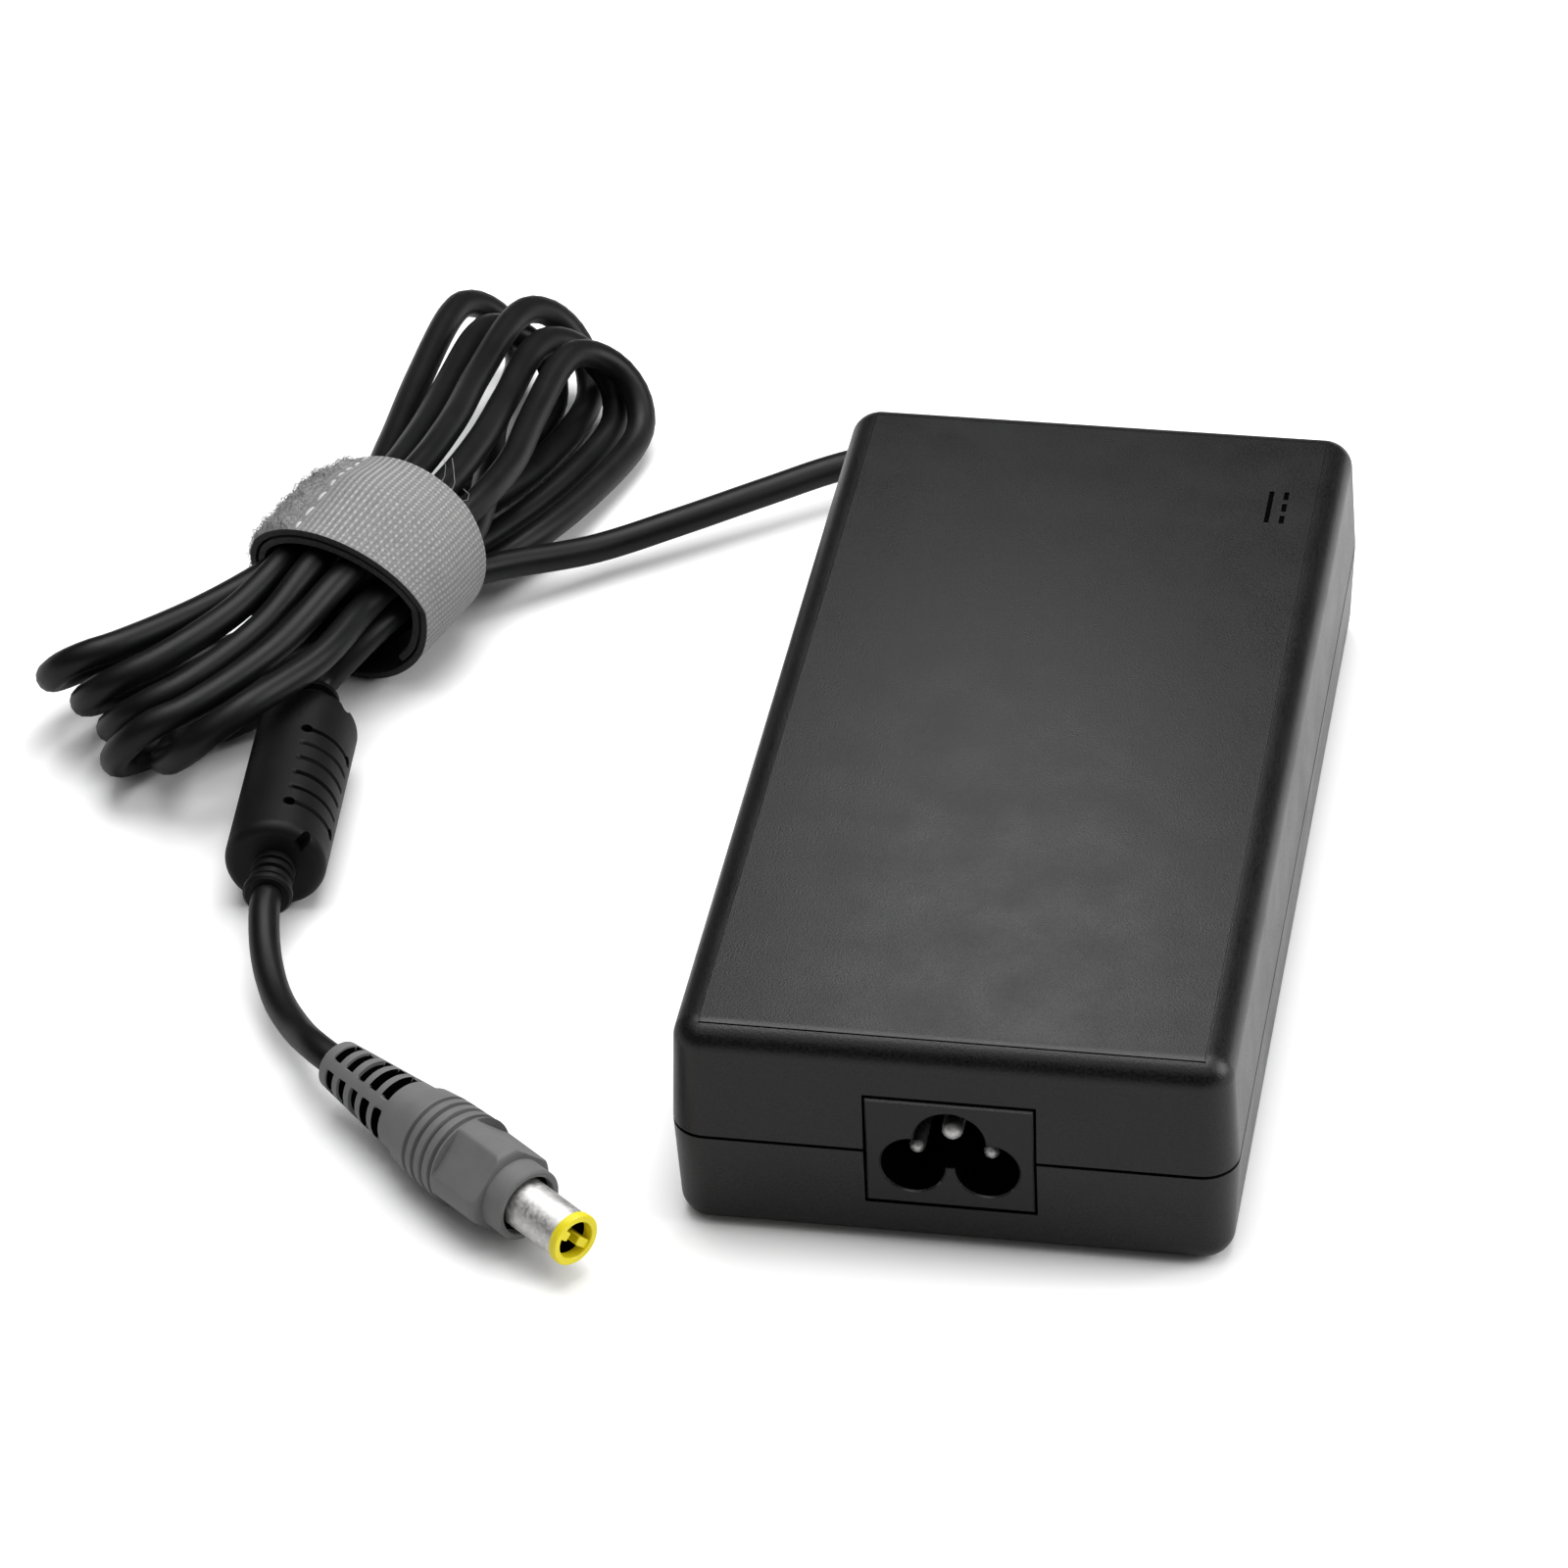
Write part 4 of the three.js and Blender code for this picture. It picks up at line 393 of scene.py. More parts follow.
surface_group = moulded_surface()


def surfaced(name, colour, second, patch, grain, roughness, depth, speckle=0.3, **plain):
    """A material from the group. The sizes of patch and grain, and the grain's depth, are millimetres."""
    material = bpy.data.materials.new(name)
    material.use_nodes = True
    nodes, links = material.node_tree.nodes, material.node_tree.links
    shader = nodes["Principled BSDF"]
    surface = nodes.new("ShaderNodeGroup")
    surface.node_tree = surface_group
    surface.inputs["Colour"].default_value = (*colour, 1)
    surface.inputs["Second Colour"].default_value = (*second, 1)
    surface.inputs["Patch Scale"].default_value = 1 / (patch * MM)
    surface.inputs["Grain Scale"].default_value = 1 / (grain * MM)
    surface.inputs["Speckle"].default_value = speckle
    surface.inputs["Least Roughness"].default_value = roughness[0]
    surface.inputs["Most Roughness"].default_value = roughness[1]
    bump = nodes.new("ShaderNodeBump")
    bump.inputs["Distance"].default_value = depth * MM
    links.new(surface.outputs["Colour"], shader.inputs["Base Color"])
    links.new(surface.outputs["Roughness"], shader.inputs["Roughness"])
    links.new(surface.outputs["Height"], bump.inputs["Height"])
    links.new(bump.outputs["Normal"], shader.inputs["Normal"])
    for socket, value in plain.items():
        shader.inputs[socket.replace("_", " ")].default_value = value
    return material


cord_sheath = surfaced(
    "cord sheath",
    (0.0035, 0.0035, 0.0038),
    (0.006, 0.006, 0.0064),
    6,
    0.25,
    (0.36, 0.48),
    0.01,
    Specular_IOR_Level=0.2,
)

cord_curve = bpy.data.curves.new("output_cord", "CURVE")
cord_curve.dimensions = "3D"
cord_curve.bevel_depth = cord_radius * MM
cord_curve.bevel_resolution = CORD_RING_RESOLUTION
cord_curve.use_fill_caps = True
spline = cord_curve.splines.new("POLY")
spline.points.add(len(cord_line) - 1)
for point, place in zip(spline.points, cord_line * MM):
    point.co = (*place, 1)
spline.use_smooth = True
cord = added("output_cord", cord_curve)
cord_curve.materials.append(cord_sheath)
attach(cord, "root")
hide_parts("cord_first_run", "cord_hank", "cord_tail")

# ---------------------------------------------------------------- hook-and-loop strap
# One band with grey woven loops outside and black hooks inside. It passes round the bundle and on under
# its own start, where a sewn row holds the two layers together, and beyond that row the loops are
# brushed into a pile.

STRAP_WIDTH = 19
STRAP_THICKNESS = 1.3
STRAP_SOFT_EDGE = 0.16
STRAP_BACKING = 0.95  # of the thickness that is black at the band's edges
STRAP_OUTER_END = 205
STRAP_OVERLAP = 250
STRAP_STEP_START = 290
STRAP_STEP_END = 350
STRAP_INNER_RADIUS = 13.6
STRAP_OUTER_RADIUS = 15.2
STRAP_LIFT = 0.5  # of its middle above the bundle's
STRAP_HEADING = WAIST_HEADING + math.radians(9)  # the upper loops draw it round
STRAP_SKEW = 5.5  # that its near edge is drawn forwards over the top
STRAP_SKEW_AT = 92  # degrees round the band, from its right side over its top
STRAP_NEAR_DRAW = 1.5  # that its near edge is drawn in at the upper right
STRAP_NEAR_DRAW_AT = 60
STRAP_FAR_DRAW = 1.4  # and its far edge at the upper left, as the strands fan out
STRAP_FAR_DRAW_AT = 125
STRAP_LET_OUT = 0.5  # that its near edge gives way at the left
STRAP_LET_OUT_AT = 195
STRAP_DEGREES_PER_STEP = 1
STRAP_ROWS = 48
SEAM = 97  # degrees from the outer end
PILE_HEIGHT = 1.4
PILE_EVEN_SHARE = 0.5
PILE_LUMPY_SHARE = 0.75
PILE_BROAD_LUMP = (13, 3.2)  # degrees round the band, and millimetres across it
PILE_FINE_LUMP = (5, 1)
PILE_SEAM_GAP = 3  # degrees
PILE_START_LENGTH = 9  # degrees
PILE_EDGE_LENGTH = 1.5
PILE_FIBRES = 1000
PILE_FIBRE_RADIUS = 0.045
PILE_FIBRE_SEAM_GAP = 5  # degrees
PILE_FIBRE_EDGE_GAP = 0.2
PILE_FIBRE_REACH = (0.3, 0.8)
PILE_FIBRE_RISE = (0.35, 1)
PILE_FIBRE_DEPTH = 0.1  # of the fibres' feet in the pile
PILE_FIBRE_POINTS = 6
STRAY_FIBRE_RADIUS = 0.05
STRAY_FIBRES = (  # degrees along the band, and millimetres past its far edge and above its inner side
    ((150, -0.2, 0.9), (149, 1, 1.5), (146, 2, 2.4), (143, 2.4, 3.2)),
    ((158, -0.2, 0.9), (156, 1.6, 1.2), (150, 3.4, 1.7), (145, 5, 2)),
    ((166, -0.2, 0.9), (168, 0.9, 1.4), (166, 1.8, 1.6), (162, 2, 1.2)),
)
RIB_PITCH = 4.1  # degrees
RIB_CREST = (-0.5, 0.9)  # of a sine, from a rib's foot to its crest
ROW_PITCH = 0.82
ROW_CREST = (-0.6, 0.6)
WEAVE_WANDER_SIZE = 1.6
WEAVE_WANDER_SPAN = (0.3, 0.7)
RIB_WANDER = 0.5  # radians of the sine to either side
ROW_WANDER = 3  # times the ribs'
WEAVE_START = (96, 116, 0.15, 1)  # degrees from and to, and how much of the ribs shows there
WEAVE_DOTTING = (110, 150, 0.4, 0.75)
WEAVE_FADE = (185, 240, 1, 0.45)
WEAVE_GREY = 0.72
WEAVE_COVER = 0.85
STITCHES = 8
STITCH_LENGTH = 1.7
STITCH_WIDTH = 0.6
STITCH_TILT = math.radians(11)
STITCH_THIRD_TILT = math.radians(-4.4)  # of every third one
STITCH_TAPER = 0.92
STITCH_FLATNESS = 0.7
STITCH_RISE = 0.12  # of its middle above the band
STITCH_DIP = 0.3
STITCH_RINGS = 7
STITCH_CORNERS = 8

strap_way = np.array((math.cos(STRAP_HEADING), math.sin(STRAP_HEADING), 0))
strap_right = np.array((strap_way[1], -strap_way[0], 0))
strap_middle = np.array((*WAIST, WAIST_HEIGHT + STRAP_LIFT))


def closed_mesh(name, points, faces):
    """A mesh from points in millimetres, with its faces turned outwards."""
    mesh = bpy.data.meshes.new(name)
    mesh.from_pydata((np.asarray(points, float) * MM).tolist(), [], faces)
    work = bmesh.new()
    work.from_mesh(mesh)
    bmesh.ops.recalc_face_normals(work, faces=work.faces)
    work.to_mesh(mesh)
    work.free()
    return mesh


def piece(name, points, faces, *materials, sharp=40):
    """A closed mesh that rides with the object. Its edges under the sharp angle are smooth."""
    mesh = closed_mesh(name, points, faces)
    mesh.shade_smooth()
    mesh.set_sharp_from_angle(angle=math.radians(sharp))
    for material in materials:
        mesh.materials.append(material)
    obj = added(name, mesh)
    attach(obj, "root")
    return obj


def skin(rings, closed=False):
    """Points and faces of a skin through closed rings, capped at its ends or closed on itself."""
    count = len(rings[0])
    index = np.arange(len(rings) * count).reshape(len(rings), count)
    faces = []
    pairs = list(zip(index, index[1:])) + ([(index[-1], index[0])] if closed else [])
    for near, far in pairs:
        faces += [tuple(map(int, quad)) for quad in zip(near, np.roll(near, -1), np.roll(far, -1), far)]
    if not closed:
        faces += [tuple(map(int, index[0])), tuple(map(int, index[-1]))]
    return np.concatenate(rings), faces


def strap_section():
    """The band's section as [along the bundle, height], over its outer side and back along its inner side."""
    half, thick, soft = STRAP_WIDTH / 2, STRAP_THICKNESS, STRAP_SOFT_EDGE
    across = np.linspace(-1, 1, STRAP_ROWS) * half
    right_edge = [(half - soft / 3, thick - soft / 3), (half, thick * STRAP_BACKING - soft / 2), (half, soft)]
    left_edge = [(-along, height) for along, height in right_edge[::-1]]
    outer = [(along, thick) for along in across[1:-1]]
    inner = [(along, 0) for along in across[-2:0:-1]]
    return outer + right_edge + inner + left_edge


def pile_height(travelled, along):
    """How far the brushed loops stand up beyond the seam, in soft lumps."""
    broad = noise.noise(Vector((travelled / PILE_BROAD_LUMP[0], along / PILE_BROAD_LUMP[1], 0.5)))
    fine = noise.noise(Vector((travelled / PILE_FINE_LUMP[0], along / PILE_FINE_LUMP[1], 3)))
    lumps = broad + fine / 2
    from_edge = STRAP_WIDTH / 2 - abs(along)
    from_seam = SEAM - PILE_SEAM_GAP - travelled
    share = smooth(from_seam / PILE_START_LENGTH) * smooth(from_edge / PILE_EDGE_LENGTH)
    return PILE_HEIGHT * share * (PILE_EVEN_SHARE + PILE_LUMPY_SHARE * lumps)


def towards(angle, degrees):
    """1 at an angle round the band, and down to 0 at right angles to it."""
    return max(math.cos(angle - math.radians(degrees)), 0)


def on_band(travelled, along, height):
    """A point on the band, at a height above its inner side."""
    stepped = smooth((travelled - STRAP_STEP_START) / (STRAP_STEP_END - STRAP_STEP_START))
    radius = STRAP_OUTER_RADIUS + (STRAP_INNER_RADIUS - STRAP_OUTER_RADIUS) * stepped + height
    angle = math.radians(STRAP_OUTER_END - travelled)
    near = smooth(-2 * along / STRAP_WIDTH)
    far = smooth(2 * along / STRAP_WIDTH)
    drawn_in = near * STRAP_NEAR_DRAW * towards(angle, STRAP_NEAR_DRAW_AT)
    drawn_in += far * STRAP_FAR_DRAW * towards(angle, STRAP_FAR_DRAW_AT)
    radius -= drawn_in
    radius += near * STRAP_LET_OUT * towards(angle, STRAP_LET_OUT_AT) ** 2
    out = strap_right * math.cos(angle) + np.array((0, 0, math.sin(angle)))
    forwards = near * STRAP_SKEW * towards(angle, STRAP_SKEW_AT)
    return strap_middle + out * radius + strap_way * (along - forwards)


def woven(material):
    """Adds the weave to the loop tape: plain by the seam, then ribs, then rows of dots that fade out."""
    tree = material.node_tree
    readings = []
    for name in ("travelled", "across"):
        reading = tree.nodes.new("ShaderNodeAttribute")
        reading.attribute_name = name
        readings.append(reading.outputs["Fac"])
    travelled, across = readings
    wander = tree.nodes.new("ShaderNodeTexNoise")
    wander.inputs["Scale"].default_value = 1 / (WEAVE_WANDER_SIZE * MM)
    uneven = ramped(tree, wander.outputs["Fac"], *WEAVE_WANDER_SPAN, -RIB_WANDER, RIB_WANDER)
    ribs = worked(tree, "MULTIPLY_ADD", travelled, 2 * math.pi / RIB_PITCH, uneven)
    ribs = ramped(tree, worked(tree, "SINE", ribs), *RIB_CREST)
    row_wander = worked(tree, "MULTIPLY", uneven, ROW_WANDER)
    rows = worked(tree, "MULTIPLY_ADD", across, 2 * math.pi / ROW_PITCH, row_wander)
    rows = ramped(tree, worked(tree, "SINE", rows), *ROW_CREST)
    dotting = ramped(tree, travelled, *WEAVE_DOTTING)
    between_rows = worked(tree, "SUBTRACT", 1, rows)
    kept = worked(tree, "SUBTRACT", 1, worked(tree, "MULTIPLY", dotting, between_rows))
    begun = ramped(tree, travelled, *WEAVE_START)
    faded = ramped(tree, travelled, *WEAVE_FADE)
    shown = worked(tree, "MULTIPLY", begun, faded)
    threads = worked(tree, "MULTIPLY", worked(tree, "MULTIPLY", ribs, kept), shown)
    shader, bump = tree.nodes["Principled BSDF"], tree.nodes["Bump"]
    light = tree.nodes.new("ShaderNodeMix")
    light.data_type = "RGBA"
    light.inputs["B"].default_value = (WEAVE_GREY, WEAVE_GREY, WEAVE_GREY, 1)
    tree.links.new(worked(tree, "MULTIPLY", threads, WEAVE_COVER), light.inputs["Factor"])
    tree.links.new(shader.inputs["Base Color"].links[0].from_socket, light.inputs["A"])
    tree.links.new(light.outputs["Result"], shader.inputs["Base Color"])
    grain = bump.inputs["Height"].links[0].from_socket
    tree.links.new(worked(tree, "ADD", grain, threads), bump.inputs["Height"])


def stitch_rings(along, tilt):
    """One stitch of thick thread: it rises out of the band and dips back into it."""
    rings = []
    for share in np.linspace(-1, 1, STITCH_RINGS):
        thick = STITCH_WIDTH / 2 * math.sqrt(1 - STITCH_TAPER * share**2)
        at = along + share * STITCH_LENGTH / 2 * math.cos(tilt)
        travelled = SEAM + math.degrees(share * STITCH_LENGTH / 2 * math.sin(tilt) / STRAP_OUTER_RADIUS)
        height = STRAP_THICKNESS + STITCH_RISE - STITCH_DIP * share**2
        sideways = math.degrees(thick / STRAP_OUTER_RADIUS)
        ring = []
        for turn in np.linspace(0, 2 * math.pi, STITCH_CORNERS + 1)[:-1]:
            lifted = height + thick * STITCH_FLATNESS * math.sin(turn)
            ring.append(on_band(travelled + sideways * math.cos(turn), at, lifted))
        rings.append(np.array(ring))
    return rings


def fibre_curves(name, runs, radius, material):
    """Thin threads through rows of points, as one curve."""
    curve = bpy.data.curves.new(name, "CURVE")
    curve.dimensions = "3D"
    curve.bevel_depth = radius * MM
    curve.bevel_resolution = 0
    for run in runs:
        line = curve.splines.new("POLY")
        line.points.add(len(run) - 1)
        for point, at in zip(line.points, np.array(run) * MM):
            point.co = (*at, 1)
    curve.materials.append(material)
    obj = added(name, curve)
    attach(obj, "root")
    return obj


strap_loops = surfaced(
    "woven loop tape", (0.16, 0.16, 0.16), (0.28, 0.28, 0.28), 3, 0.3, (0.8, 0.95), 0.16, 0.8
)
woven(strap_loops)
strap_pile = surfaced(
    "brushed loops", (0.26, 0.26, 0.26), (0.42, 0.42, 0.42), 1.2, 0.2, (0.8, 0.95), 0.05, 0.5
)
strap_thread = surfaced("sewing thread", (0.5, 0.5, 0.5), (0.62, 0.62, 0.62), 0.8, 0.15, (0.7, 0.9), 0.05)
strap_hooks = surfaced(
    "hook backing", (0.006, 0.006, 0.006), (0.035, 0.035, 0.035), 1.5, 0.25, (0.7, 0.9), 0.12, 0.8
)

section = strap_section()
columns = len(section)
travels = np.arange(0, 360 + STRAP_OVERLAP + 0.1, STRAP_DEGREES_PER_STEP)


def band_ring(travelled):
    """The band's section at a place along it, with the pile on its outer side."""
    ring = []
    for along, height in section:
        if height == STRAP_THICKNESS:
            height += pile_height(travelled, along)
        ring.append(on_band(travelled, along, height))
    return np.array(ring)


strap_rings = [band_ring(travelled) for travelled in travels]
strap = piece("strap_band", *skin(strap_rings), strap_loops, strap_hooks)
for name, values in (
    ("travelled", np.repeat(travels, columns)),
    ("across", np.tile([along for along, height in section], len(travels))),
):
    strap.data.attributes.new(name, "FLOAT", "POINT").data.foreach_set("value", values)
outer_columns = STRAP_ROWS - 1
for face in strap.data.polygons:
    rings_touched = [corner // columns for corner in face.vertices]
    columns_touched = [corner % columns for corner in face.vertices]
    lowest, highest = min(columns_touched), max(columns_touched)
    outside = highest < outer_columns or (lowest == 0 and highest == columns - 1)
    face.material_index = 0 if outside and travels[min(rings_touched)] < STRAP_STEP_END else 1
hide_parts("hook_and_loop_strap")

stitch_points, stitch_faces = [], []
for number in range(STITCHES):
    along = (number + 0.5) / STITCHES * STRAP_WIDTH - STRAP_WIDTH / 2
    points, faces = skin(stitch_rings(along, STITCH_TILT if number % 3 else STITCH_THIRD_TILT))
    stitch_faces += [tuple(corner + len(stitch_points) * len(points) for corner in face) for face in faces]
    stitch_points.append(points)
stitches = piece("strap_seam", np.concatenate(stitch_points), stitch_faces, strap_thread)

chance = np.random.default_rng(7)
pile_runs = []
for number in range(PILE_FIBRES):
    travelled = chance.uniform(1, SEAM - PILE_FIBRE_SEAM_GAP)
    along = chance.uniform(-1, 1) * (STRAP_WIDTH / 2 - PILE_FIBRE_EDGE_GAP)
    heading = chance.uniform(0, math.pi)
    reach = chance.uniform(*PILE_FIBRE_REACH)
    rise = chance.uniform(*PILE_FIBRE_RISE)
    root = STRAP_THICKNESS + pile_height(travelled, along) - PILE_FIBRE_DEPTH
    run = []
    for share in np.linspace(-1, 1, PILE_FIBRE_POINTS):
        turned = math.degrees(reach * share * math.cos(heading) / STRAP_OUTER_RADIUS)
        sideways = reach * share * math.sin(heading)
        run.append(on_band(travelled + turned, along + sideways, root + rise * (1 - share**2)))
    pile_runs.append(run)
fibre_curves("strap_pile", pile_runs, PILE_FIBRE_RADIUS, strap_pile)

far_edge = STRAP_WIDTH / 2
stray_runs = []
for fibre in STRAY_FIBRES:
    stray_runs.append([on_band(turned, far_edge + past, height) for turned, past, height in fibre])
fibre_curves("strap_stray_fibres", stray_runs, STRAY_FIBRE_RADIUS, strap_pile)

# ---------------------------------------------------------------- ferrite moulding
# A black cover moulded over a ferrite sleeve, with a ribbed boot at each end where the cord goes
# through. One side has arc grooves for the fingers, and small holes mark where the sleeve was held in
# the mould.

FERRITE_ROUNDING = 1.9
FERRITE_BOOT_RINGS = 3
FERRITE_BOOT_GROOVE = 1
FERRITE_BOOT_GROOVE_SPAN = (0.55, 0.68, 0.88, 1)  # of a rib's pitch, down one edge and up the other
FERRITE_BOOT_LIP = (1.5, 0.45)  # its length from the tip, and how far it stands out
FERRITE_BOOT_LIP_EDGE = 0.2
BOOT_TIP_ROUNDING = 0.4
FERRITE_TURNS = 180
FERRITE_STEP = 0.22
GRIP_GROOVES = 6
GRIP_GROOVE_PITCH = 3.9
GRIP_PAST_MIDDLE = 2.2
GRIP_GROOVE_WIDTH = 0.7
GRIP_GROOVE_DEPTH = 0.6
GRIP_GROOVE_EDGE = (0.1, 0.12)  # inside and outside its width
GRIP_ARC_EDGE = 0.06  # radians
GRIP_MIDDLE = math.radians(137)
GRIP_HALF_ARC = math.radians(33)
HOLE_RADIUS = 1
HOLE_FLOOR = 6
HOLE_ANGLES = (104, 171)
FOOT_SLOT = (134, 1, 5.4, 1.8)  # its angle, half width, floor, and stretch along the moulding
TOP_NOTCH = (145, 1.4, 6, 1.6)
HOLE_TURNS = 24
UP = np.array((0, 0, 1.0))


def ease(value, low, high):
    """0 below low and 1 above high, with a smooth step between."""
    t = np.clip((value - low) / (high - low), 0, 1)
    return t * t * (3 - 2 * t)


def right_of(way):
    right = np.cross(way, UP)
    return right / np.linalg.norm(right)


def turned_rings(start, way, stations, turns, radius_at):
    """Rings about an axis, from the radius at each distance along it and angle up from its right side."""
    way = np.array(way, float)
    angles = np.arange(turns) / turns * 2 * math.pi
    spokes = np.outer(np.cos(angles), right_of(way)) + np.outer(np.sin(angles), UP)
    rings = []
    for along in stations:
        radii = np.broadcast_to(radius_at(along, angles), angles.shape)
        rings.append(np.array(start) + way * along + spokes * radii[:, None])
    return rings


def ring_groove(share, grooves, span):
    """1 in a boot's ring grooves and 0 on its ribs, at a share of its length."""
    place = share * (grooves + 0.5) % 1
    start, floor, rise, end = span
    return ease(place, start, floor) * (1 - ease(place, rise, end)) * (share < grooves / (grooves + 0.5))


def ferrite_radius(along, angles):
    from_end = min(along, ferrite_length - along)
    groove = ring_groove(from_end / FERRITE_BOOT_LENGTH, FERRITE_BOOT_RINGS, FERRITE_BOOT_GROOVE_SPAN)
    boot = FERRITE_BOOT_RADIUS - FERRITE_BOOT_GROOVE * groove
    lip_length, lip_height = FERRITE_BOOT_LIP
    boot += lip_height * (1 - ease(from_end, lip_length - FERRITE_BOOT_LIP_EDGE, lip_length))
    boot -= BOOT_TIP_ROUNDING * (1 - ease(from_end, 0, BOOT_TIP_ROUNDING))
    into = from_end - FERRITE_BOOT_LENGTH
    if into < 0:
        return boot
    shoulder = FERRITE_BODY_RADIUS - FERRITE_ROUNDING
    rise = math.sqrt(max(0, 1 - (1 - min(into / FERRITE_ROUNDING, 1)) ** 2))
    body = shoulder + FERRITE_ROUNDING * rise
    middle = ferrite_length / 2 + GRIP_PAST_MIDDLE
    nearest = round((along - middle) / GRIP_GROOVE_PITCH - 0.5) + 0.5
    off = abs(along - middle - nearest * GRIP_GROOVE_PITCH)
    in_range = abs(nearest) < GRIP_GROOVES / 2
    inner_edge, outer_edge = GRIP_GROOVE_EDGE
    wall = GRIP_GROOVE_WIDTH / 2
    groove = (1 - ease(off, wall - inner_edge, wall + outer_edge)) * in_range
    reach = 1 - ease(np.abs(angles - GRIP_MIDDLE), GRIP_HALF_ARC, GRIP_HALF_ARC + GRIP_ARC_EDGE)
    return body - GRIP_GROOVE_DEPTH * groove * reach


def drilled(along, degrees, radius, floor, stretch=1):
    """A cutter that goes into the moulding from outside, round or drawn out along it."""
    angle = math.radians(degrees)
    out = right_of(ferrite_way) * math.cos(angle) + UP * math.sin(angle)
    across = np.cross(ferrite_way, out)
    turns = np.arange(HOLE_TURNS) / HOLE_TURNS * 2 * math.pi
    ring = (np.outer(np.cos(turns) * stretch, ferrite_way) + np.outer(np.sin(turns), across)) * radius
    middle = ferrite_top + ferrite_way * along
    return skin([middle + out * floor + ring, middle + out * (FERRITE_BODY_RADIUS + 1) + ring])


def cut_with(obj, points, faces):
    """Cuts a closed mesh out of a piece for good."""
    mesh = closed_mesh("cutter", points, faces)
    cutter = added("cutter", mesh)
    boolean = obj.modifiers.new("cut", "BOOLEAN")
    boolean.operation = "DIFFERENCE"
    boolean.solver = "EXACT"
    boolean.object = cutter
    bpy.context.view_layer.update()
    evaluated = obj.evaluated_get(bpy.context.evaluated_depsgraph_get())
    result = bpy.data.meshes.new_from_object(evaluated)
    obj.modifiers.clear()
    old = obj.data
    obj.data = result
    bpy.data.meshes.remove(old)
    bpy.data.objects.remove(cutter)
    bpy.data.meshes.remove(mesh)


def finished(obj, sharp=35):
    """Marks sharp edges and lets large faces rule the shading round them."""
    obj.data.shade_smooth()
    obj.data.set_sharp_from_angle(angle=math.radians(sharp))
    weighted = obj.modifiers.new("weighted normals", "WEIGHTED_NORMAL")
    weighted.keep_sharp = True
    return obj


ferrite_plastic = surfaced(
    "soft black moulding",
    (0.004, 0.004, 0.004),
    (0.0065, 0.0065, 0.0065),
    5,
    0.3,
    (0.42, 0.56),
    0.012,
    Specular_IOR_Level=0.15,
)
rounding = FERRITE_ROUNDING * (1 - np.cos(np.linspace(0, math.pi / 2, 9)))
body_start = FERRITE_BOOT_LENGTH + FERRITE_ROUNDING
boot_stations = np.arange(0, FERRITE_BOOT_LENGTH, FERRITE_STEP / 2)
ferrite_stations = np.concatenate(
    (
        boot_stations,
        FERRITE_BOOT_LENGTH + rounding[:-1],
        np.arange(body_start, ferrite_length - body_start, FERRITE_STEP),
        ferrite_length - FERRITE_BOOT_LENGTH - rounding[::-1],
        ferrite_length - boot_stations[::-1],
    )
)
ferrite_rings = turned_rings(FERRITE_TOP, ferrite_way, ferrite_stations, FERRITE_TURNS, ferrite_radius)
ferrite_cover = piece("ferrite_moulding", *skin(ferrite_rings), ferrite_plastic, sharp=60)
first_groove = ferrite_length / 2 + GRIP_PAST_MIDDLE - (GRIP_GROOVES - 1) / 2 * GRIP_GROOVE_PITCH
last_groove = first_groove + (GRIP_GROOVES - 1) * GRIP_GROOVE_PITCH
for along in (first_groove, last_groove):
    for degrees in HOLE_ANGLES:
        cut_with(ferrite_cover, *drilled(along, degrees, HOLE_RADIUS, HOLE_FLOOR))
cut_with(ferrite_cover, *drilled(ferrite_length - FERRITE_BOOT_LENGTH, *FOOT_SLOT))
cut_with(ferrite_cover, *drilled(FERRITE_BOOT_LENGTH, *TOP_NOTCH))
finished(ferrite_cover)
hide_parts("ferrite_cover")

# ---------------------------------------------------------------- plug
# A grey moulding over the plug: a slotted boot that lets the cord bend, four grip rings, a body with
# four flats and a small collar. The plated barrel, the yellow insulator with its two keys and the
# centre pin come out of it.

PLUG_TURNS = 144
PLUG_STEP = 0.13
BOOT_START_RADIUS = 4
BOOT_END_RADIUS = 5.9
BOOT_END = 19.5
BOOT_SLOTS = 5
BOOT_SLOT_PITCH = 3.24
BOOT_SLOT_WIDTH = 1.6
BOOT_FIRST_SLOT = 3.2
BOOT_SPINE_WIDTH = 2
BOOT_CORE_RADIUS = 2.6
BOOT_SLOT_EDGE = 0.12  # to either side of its wall
BOOT_SPINE_EDGE = (0.02, 0.05)  # radians
RING_ZONE_START = 21
RING_ZONE_START_RADIUS = 6.6
RING_ZONE_RADIUS = 7
FIRST_RING_GROOVE = 24.8
RING_GROOVES = 4
RING_GROOVE_PITCH = 2.13
RING_GROOVE_DEPTH = 0.7
RING_GROOVE_WIDTH = 0.6
RING_GROOVE_EDGE = (0.1, 0.15)
GRIP_START = 32.4
GRIP_RADIUS = 7.5
GRIP_END = 42.2
GRIP_ROUNDING = 1
GRIP_FLAT_DISTANCE = 6.3
COLLAR_RADIUS = 5.8
COLLAR_END = 46.2
COLLAR_RECESS = (4.75, 1.6)  # the radius and depth of the ring that is open round the barrel
BARREL_RADIUS = 3.95
BARREL_WALL = 0.6
BARREL_ROOT = 40
BARREL_END = 55.7
TIP_START = 55.9
TIP_END = 57.1
TIP_RADIUS = 4.2
TIP_BORE_RADIUS = 3
TIP_BORE_DEPTH = 8
TIP_BORE_LIT = 1.8  # of its depth; the rest is in deep shade
KEY_WIDTH = 1.4
KEY_TURN = math.radians(-45)
SHORT_KEY_REACH = 1.5
SHORT_KEY_RECESS = 0.2
